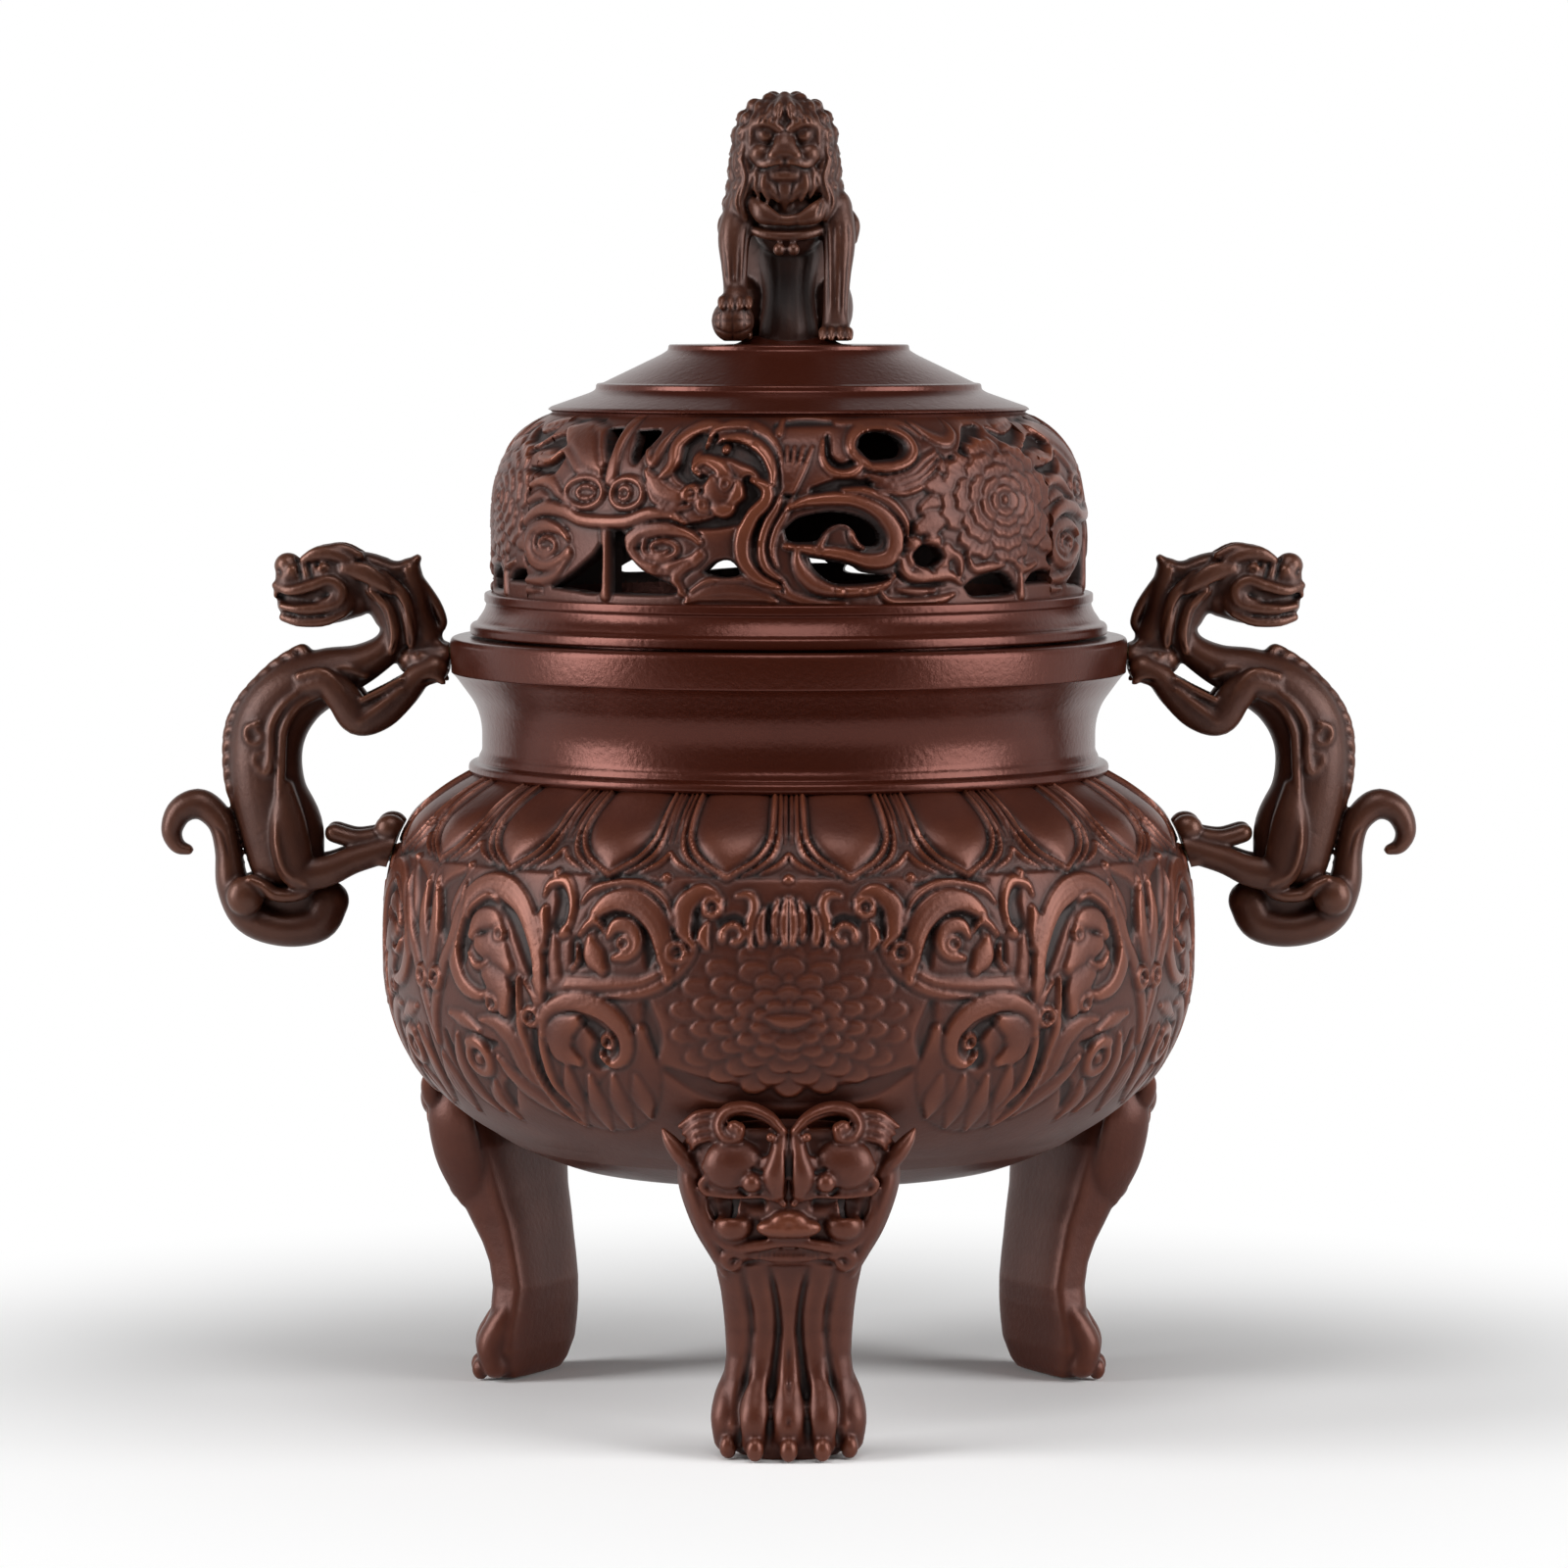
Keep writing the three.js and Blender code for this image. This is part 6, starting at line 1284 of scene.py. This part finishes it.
def lion():
    """The lion in wax. Places are mm aside (x), towards the back (y) and above its foot (z)."""
    wax = Wax("x")
    # rump, back, chest, neck and the mound it sits on
    wax.tube([(0, 8, 5, 9, 10), (0, 7.4, 12, 9.4, 11.4), (0, 4.6, 22, 8.6, 11.8), (0, 0.6, 31, 8, 11.4),
              (0, -2, 38, 7.6, 10), (0, -2.8, 45, 8, 9)], side=(1, 0, 0), around=26)
    wax.ball((0, -5, 29), (9.2, 6.6, 8.6))
    wax.tube([(0, -3, 0.4, 9, 8), (0, -3, 3.4, 8.4, 7.4), (0, -1.4, 12, 7, 6.4), (0, 0, 22, 7, 8)],
             side=(1, 0, 0))
    wax.balls((10.4, 5.6, 8.6), (6, 8.8, 8.6))
    wax.tubes([(10.6, 8, 2.4, 3, 3.4), (12.4, 0, 2.2, 2.6, 3.2), (12.8, -5.6, 2, 2.2, 3.2)], side=(1, 0, 0))
    # the head, about its own middle: skull, muzzle, jaw, nose, eyes, cheeks, brows, lips, ears and beard
    head = Wax("x")
    head.ball((0, -4.4, 50.4), (10.4, 9.4, 10))
    head.ball((0, -11.4, 44.6), (6.6, 4.4, 4))
    head.ball((0, -11.6, 40.4), (5.4, 3.8, 2.2))
    head.tube([(0, -10.4, 52, 2.4, 2.2), (0, -14.4, 48, 2.2, 2.8), (0, -15.6, 46, 1.7, 3.9)],
              side=(1, 0, 0))
    head.balls((4.6, -12.6, 50.2), (2.1, 2, 1.9))
    head.balls((5.8, -11.6, 45.6), (3.2, 3.2, 2.8))
    head.balls((6.9, -10.4, 48.6), (2.2, 2.6, 2.2))
    head.balls((7.6, -7.6, 40.6), (3.4, 3.4, 5.4))
    head.tubes([(1.4, -14, 51.6, 1.2, 1.5), (4.8, -13.8, 53.6, 1.7, 1.9), (9, -11, 51.8, 1.1, 1.4)])
    head.tubes([(1.6, -15.4, 43.6, 1.3, 1.4), (5.2, -13.6, 43.2, 1.5, 1.5), (8.2, -10, 45.6, 1.2, 1.4)])
    head.balls((2.6, -15.6, 45.2), (1.7, 1.4, 1.3))
    head.tubes([(9.2, -7.4, 52, 1.4, 2), (10.8, -8, 51, 1.4, 2.2), (11.6, -8.2, 48.6, 0.8, 1.2)])
    head.tubes([(5.4, -12.6, 40.6, 1, 1.2), (3.8, -13, 37.6, 1.5, 1.4), (1.6, -12.4, 34.6, 0.9, 1)])
    head.tube([(0, -12, 40, 2.4, 2.8), (0, -12, 36, 2, 2.6), (0, -10.8, 32.4, 0.9, 1.2)], side=(1, 0, 0))
    # fringe and forehead tuft
    for k in range(-3, 4):
        head.tube([(1.9 * k, -13.4 + 0.4 * abs(k), 53.4 - 0.5 * abs(k), 0.8, 0.9),
                   (2.2 * k, -11.4 + 0.4 * abs(k), 56.4, 1.3, 1.3),
                   (1.9 * k, -7, 58.8 - 0.2 * abs(k), 1.1, 1.1)], side=(1, 0, 0), around=12)
    head.tube([(0, -13, 54, 1, 1.2), (0, -11.4, 57, 1.6, 1.7), (0, -6.6, 59.4, 1.6, 1.8)], side=(1, 0, 0))
    # snail curls of the mane, row by row round the head and down the neck: height and radius of the row,
    # its first and last angle, number of curls and their size
    curls = []
    for height, ring, first, last, count, size in (
            (58.4, 3.8, -10, 190, 5, 2.3), (56.4, 7.8, -16, 196, 8, 2.4), (53.6, 10, -26, 206, 11, 2.5),
            (50, 11.4, -32, 212, 12, 2.6), (45.8, 11.7, -34, 214, 13, 2.6), (41.6, 12.3, -34, 214, 13, 2.6),
            (37.4, 12.8, -32, 212, 13, 2.6), (33.2, 13.6, -14, 194, 11, 2.6),
            (29.2, 13.2, 14, 166, 8, 2.5)):
        for k, turn in enumerate(np.radians(np.linspace(first, last, count))):
            back = -3.6 + 0.12 * (48 - height)
            place = (ring * np.cos(turn), back + 0.9 * ring * np.sin(turn), height + 0.5 * (k % 2))
            curls.append((np.array(place), turn, size))
            head.ball(place, (size, size, size))
    # wavy locks that fall from the temples over the curls to the shoulders
    for k in range(3):
        head.tubes([(8.4 + 1.02 * k, -10.6 + 2.21 * k, 51 - k, 0.9, 1),
                    (10.6 + 1.19 * k, -10.2 + 2.04 * k, 45.4 - k, 1.4, 1.5),
                    (9.4 + 1.36 * k, -11 + 2.04 * k, 39.6 - k, 1.5, 1.5),
                    (11.4 + 1.36 * k, -10.2 + 2.04 * k, 34 - k, 1.3, 1.4),
                    (9.8 + 1.87 * k, -10.4 + 2.04 * k, 30 - k, 0.7, 0.8)], side=(1, 0, 0), around=14)
    # shaggy locks that part at the crown and hang over the brow, and the beard's locks below the cheeks
    for k, (aside, drop) in enumerate(((1.5, 54.6), (3.6, 53.2), (5.8, 51.4), (7.9, 49.0))):
        head.tubes([(0.6 * aside, -9.4 + 0.3 * k, 58.8 - 0.5 * k, 0.8, 0.8),
                    (0.95 * aside, -13.4 + 0.6 * k, 57 - 0.9 * k, 1.1, 1.1),
                    (aside + 0.3, -14.6 + 0.8 * k, 54.8 - 1.2 * k, 1.1, 1),
                    (aside + 0.9, -14.4 + 0.9 * k, drop - 0.9 * k, 0.5, 0.5)], side=(1, 0, 0), around=12)
    for k, (aside, top, tip) in enumerate(((4.6, 41.8, 34.4), (6.8, 42.4, 35.2), (8.8, 43.4, 36.6))):
        head.tubes([(aside, -13.2 + 1.3 * k, top, 0.9, 0.9),
                    (aside + 0.6, -13.4 + 1.2 * k, (top + tip) / 2, 1.2, 1.1),
                    (aside - 0.5, -12.8 + 1.1 * k, tip, 0.5, 0.5)], side=(1, 0, 0), around=12)
    wax.take(head, head_at)
    # forelegs: one on the ball, one planted, with paws
    wax.tube([(-11.4, -4.6, 33, 4.6, 4.6), (-13.6, -7.6, 26, 4.2, 4.2), (-13.6, -9.6, 19, 3.3, 3.4),
              (-13.4, -10.6, 13.4, 2.8, 3), (-13.4, -13.6, 10.6, 2.4, 3.2)], side=(1, 0, 0))
    wax.tube([(11.4, -4.6, 33, 4.6, 4.6), (12.6, -7.4, 25, 4.2, 4.2), (12.2, -9.4, 16, 3.3, 3.4),
              (11.8, -10.4, 8, 2.9, 3.2), (11.8, -11.6, 3.4, 2.8, 3.6)], side=(1, 0, 0))
    wax.ball((-14, -12.8, 5.4), (5.4, 5.2, 5.4))
    for toe in (-1.5, -0.5, 0.5, 1.5):
        for centre, height in ((-13.4, 9.8), (11.8, 2.2)):
            wax.tube([(centre + 1.9 * toe, -12, height + 0.6, 1.4, 1.2),
                      (centre + 2.2 * toe, -15.4, height + 0.2, 1.5, 1.2),
                      (centre + 2.3 * toe, -17.2, height - 1, 0.8, 0.8)], side=(1, 0, 0), around=12)
        wax.tubes([(12.2 + 1.5 * toe, -4, 2.2, 1.2, 1), (12.6 + 1.7 * toe, -8.6, 1.8, 1.2, 1)],
                  side=(1, 0, 0), around=12)
    # tail curling up the back, and the flame of fur above each elbow
    wax.tube([(0, 16, 4, 2.8, 3.2), (0, 18.6, 12, 3.6, 4.6), (0, 16, 22, 3, 4.2), (0, 12.4, 29, 1.6, 2.4)],
             side=(1, 0, 0))
    wax.tubes([(5, 17.2, 8, 1.2, 1.4), (4.4, 18.2, 14, 1.7, 1.6), (1.6, 17.4, 20, 1.2, 1.2)],
              side=(1, 0, 0))
    wax.tubes([(16.2, -4, 25, 1.2, 1.6), (16.4, -2, 29, 1.6, 2), (14.4, 0, 33, 1, 1.2)], around=12)
    # collar of cord, its bells and the scarf over the chest
    collar = [(-0.6 + 10.6 * np.cos(a), -3.4 + 8.6 * np.sin(a), 29.4 - 3.6 * max(0, -np.sin(a)), 1.3, 1.3)
              for a in np.radians(np.arange(0, 361, 30))]
    wax.tube(collar, side=(0, 0, 1), around=12)
    wax.tubes([(9.4, -9.4, 34.4, 1.2, 1.6), (6.6, -12.2, 31.4, 2, 2.6), (3, -13.2, 29.8, 1.2, 1.6)],
              side=(0, 0, 1))
    wax.tube([(-9, -9, 32.6, 1.1, 1.2), (-4.6, -12.2, 30.4, 1.3, 1.4), (-0.6, -13, 29.6, 1.3, 1.4),
              (3.6, -12.2, 30.4, 1.3, 1.4), (8, -9, 32.6, 1.1, 1.2)], side=(0, 0, 1), around=12)
    for aside in (-2.4, 1.2):
        wax.ball((aside, -12.4, 22.6), (1.6, 1.6, 1.6))
    # the foot is sunk a little and cut level, so that the lion sits flat on the lid
    wax.points = [lump + (0, 0, lion_foot - 0.2) for lump in wax.points]
    skin = wax.melted(0.42)
    skin.relax(2)
    skin.p[:, 2] -= lion_foot - 0.2
    # a spiral on each curl
    for place, turn, size in curls:
        across = np.array([-np.sin(turn), np.cos(turn), 0])
        middle = place + head_at + size * np.array([np.cos(turn), 0.9 * np.sin(turn), 0.15])
        winding = zip(np.arange(0, 8.4, 0.8), np.linspace(0.25, 1, 11) * size * 0.62)
        skin.draw([middle + across * (r * np.cos(a)) + (0, 0, r * np.sin(a)) for a, r in winding],
                  0.34, -0.55)
    # beard, mouth, pupils and the fur of the flanks
    for k in range(3):
        skin.draw_both([(1.8 + 1.6 * k, -13.6 + 0.6 * k, 39.6), (1.4 + 1.2 * k, -13.4 + 0.4 * k, 35.8),
                        (0.6, -11.4, 32.2)], 0.3, -0.4, head_at)
    skin.draw_both([(1, -16.2, 42.6), (5, -14.2, 41.8), (8, -10.4, 43.6)], 0.5, -1.1, head_at)
    skin.draw_both([(4.6, -14.6, 50.6), (4.7, -14.6, 50.5)], 0.6, -0.6, head_at)
    for k in range(4):
        skin.draw_both([(13 + 0.6 * k, -11 + 1.2 * k, 24 - 4 * k), (16 - 0.4 * k, -8 + k, 22 - 4 * k)],
                       0.3, -0.3)
    # a net of lines round the ball
    bends = (-1.2, -0.6, 0, 0.6, 1.2)
    for b in bends:
        skin.draw([(-14 + 5.4 * np.sin(a), -12.8 - 5.2 * np.cos(a) * np.cos(b),
                    5.4 + 5.4 * np.cos(a) * np.sin(b)) for a in bends], 0.3, -0.35)
        skin.draw([(-14 + 5.4 * np.sin(b), -12.8 - 5.2 * np.cos(b) * np.cos(a),
                    5.4 + 5.4 * np.sin(a)) for a in bends], 0.3, -0.35)
    # strands of hair over the brow and down the locks, each laid on the front of the skin
    def front(x, z):
        close = (np.abs(skin.p[:, 0] - x) < 0.8) & (np.abs(skin.p[:, 2] - z) < 0.8)
        return (x, skin.p[close, 1].min(), z)
    for k in range(-5, 6):
        skin.draw([front(-1 + a * k, z) for a, z in ((0.8, 58.2), (1.25, 55.6), (1.6, 53))], 0.36, -0.6)
    for way in (1, -1):
        for k in range(4):
            fall = ((0, 50), (1.4, 45), (0.4, 40), (1.6, 34.6), (0.6, 30.4))
            skin.draw([front(-1 + (7.6 + 1.3 * k + a) * way, z) for a, z in fall], 0.36, -0.6)
    # long hair of the forelegs
    for x, top, low in ((-13.4, 28, 15), (12.2, 29, 7)):
        for k in (-1.5, -0.5, 0.5, 1.5):
            skin.draw([(x + 2 * k, -11 + 0.8 * abs(k), top),
                       (x + 1.7 * k, -12.4 + 0.7 * abs(k), (top + low) / 2),
                       (x + 1.4 * k, -13.4 + 0.6 * abs(k), low)], 0.35, -0.45)
    skin.incise()
    skin.relax(1)
    skin.p[:, 2] = np.maximum(skin.p[:, 2], 0.5) + lion_foot - 0.2
    return skin


wax_lion = lion()
wax_lion.p[:, :2] *= min(1.0, (lion_high[0] - lion_low[0]) / np.ptp(wax_lion.p[:, 0]))
lion_tone = wax_lion.tone(20, 0.9)
# painted shade: the hollow between the forelegs, where shade falls, is darkened
painted_shade_distance = (((wax_lion.p - (-0.6, -9, lion_foot + 12)) / (9, 7, 12)) ** 2).sum(1)
lion_tone = lion_tone - 0.55 * np.exp(-painted_shade_distance)
piece("lion", wax_lion.p, [wax_lion.quads], "lid", "lion_finial", dark, lion_tone,
      flat_angle=180)

# Screws and washer: inside, where nobody sees them.
# Eight turned screws hold the legs, the handles and the lion, and a washer spreads the lion's pull.
# Their own solids from the frame are kept as they are.
brass = patina("turned_brass", "#6a5128", "#8a6d3a", "#a88a52")
for thing in list(bpy.context.scene.collection.all_objects):
    if thing.type == "MESH" and ("screw" in thing.name or "washer" in thing.name):
        thing.data.materials.clear()
        thing.data.materials.append(brass)

# Stage: a pale seamless sweep.
# White paper under the object, which the lamps light; past its shadow the paper is plain white to the
# eye, and so is the backdrop behind it. The room on the camera's side is dim.
def maths(tree, operation, *values, **settings):
    """A sum or product of values and links."""
    return add(tree, "Math", dict(enumerate(values)), operation=operation, **settings).outputs[0]


def rising(tree, value, low, high):
    """A smooth rise from 0 where the value is at low to 1 where it is at high."""
    return add(tree, "MapRange", {"Value": value, "From Min": low, "From Max": high},
               interpolation_type="SMOOTHSTEP").outputs["Result"]


def showing(tree, behind):
    """1 for rays that show the background: the camera's, and those that metal mirrors from its far side."""
    path = add(tree, "LightPath").outputs
    mirrored = maths(tree, "ADD", path["Is Glossy Ray"], path["Is Transmission Ray"])
    far = maths(tree, "MULTIPLY", mirrored, behind)
    return maths(tree, "ADD", path["Is Camera Ray"], far, use_clamp=True)


paper = bpy.data.materials.new("white_paper")
paper.use_nodes = True
sheet = paper.node_tree
sheet.nodes.clear()
spot = add(sheet, "TexCoord").outputs["Object"]
away = add(sheet, "VectorMath", {0: spot}, operation="LENGTH").outputs["Value"]
past = rising(sheet, away, 0.15, 0.33)
depth = add(sheet, "SeparateXYZ", {"Vector": spot}).outputs["Y"]
on_paper = rising(sheet, depth, -0.7, -0.5)
bare = maths(sheet, "MULTIPLY", past, showing(sheet, on_paper))
tint = add(sheet, "MixRGB", {"Fac": on_paper, "Color1": linear("#2c2c2c"),
    "Color2": linear("#f4f4f4")}).outputs["Color"]
lit = add(sheet, "BsdfDiffuse", {"Color": tint}).outputs["BSDF"]
plain = add(sheet, "Emission", {"Color": (1, 1, 1, 1), "Strength": 1.0}).outputs["Emission"]
blend = add(sheet, "MixShader", {"Fac": bare, 1: lit, 2: plain}).outputs["Shader"]
sheet.links.new(blend, add(sheet, "OutputMaterial").inputs["Surface"])
floor_mesh = bpy.data.meshes.new("floor")
floor_mesh.from_pydata([(-6, -6, 0), (6, -6, 0), (6, 6, 0), (-6, 6, 0)], [], [(0, 1, 2, 3)])
floor = bpy.data.objects.new("floor", floor_mesh)
bpy.context.scene.collection.objects.link(floor)
floor.data.materials.append(paper)

# the room is dim on the camera's side and white behind the object
world = bpy.context.scene.world or bpy.data.worlds.new("World")
bpy.context.scene.world = world
world.use_nodes = True
sky = world.node_tree
sky.nodes.clear()
toward = add(sky, "SeparateXYZ", {"Vector": add(sky, "TexCoord").outputs["Generated"]}).outputs
back = rising(sky, toward["Y"], -0.1, 0.5)
low = rising(sky, toward["Z"], 0.7, 0.4)
behind = maths(sky, "MULTIPLY", back, low)
room = add(sky, "Background", {"Color": (0.09, 0.09, 0.09, 1), "Strength": 1.0}).outputs["Background"]
white = add(sky, "Background", {"Color": (1, 1, 1, 1), "Strength": 1.0}).outputs["Background"]
mixed = add(sky, "MixShader", {"Fac": showing(sky, behind), 1: room, 2: white}).outputs["Shader"]
sky.links.new(mixed, add(sky, "OutputWorld").inputs["Surface"])


def softbox(name, place, aim, wide, tall, power):
    """A rectangular soft lamp that faces the point it is aimed at."""
    lamp = bpy.data.lights.new(name, "AREA")
    lamp.shape, lamp.size, lamp.size_y, lamp.energy = "RECTANGLE", wide, tall, power
    light = bpy.data.objects.new(name, lamp)
    light.location = place
    light.rotation_euler = (Vector(aim) - Vector(place)).to_track_quat("-Z", "Y").to_euler()
    bpy.context.scene.collection.objects.link(light)


# two tall lamps at the sides and a small one above and in front
softbox("left_box", (-1.2, -0.4, 0.5), (0, 0, 0.16), 0.6, 1.1, 19)
softbox("right_box", (1.15, -0.5, 0.5), (0, 0, 0.16), 0.8, 1.1, 18)
softbox("top_box", (0, -0.5, 1.2), (0, 0, 0.16), 0.6, 0.6, 5)

# Camera: level with the belly, a long lens, tipped down a little.
lens = bpy.data.cameras.new("camera")
lens.lens, lens.sensor_width, lens.shift_x = 146.25, 36, -0.003
camera = bpy.data.objects.new("camera", lens)
camera.location = (0, -1.560, 0.2717)
camera.rotation_euler = (np.radians(90 - 4.36), 0, 0)
bpy.context.scene.collection.objects.link(camera)
bpy.context.scene.camera = camera
bpy.context.scene.view_settings.view_transform = "Standard"
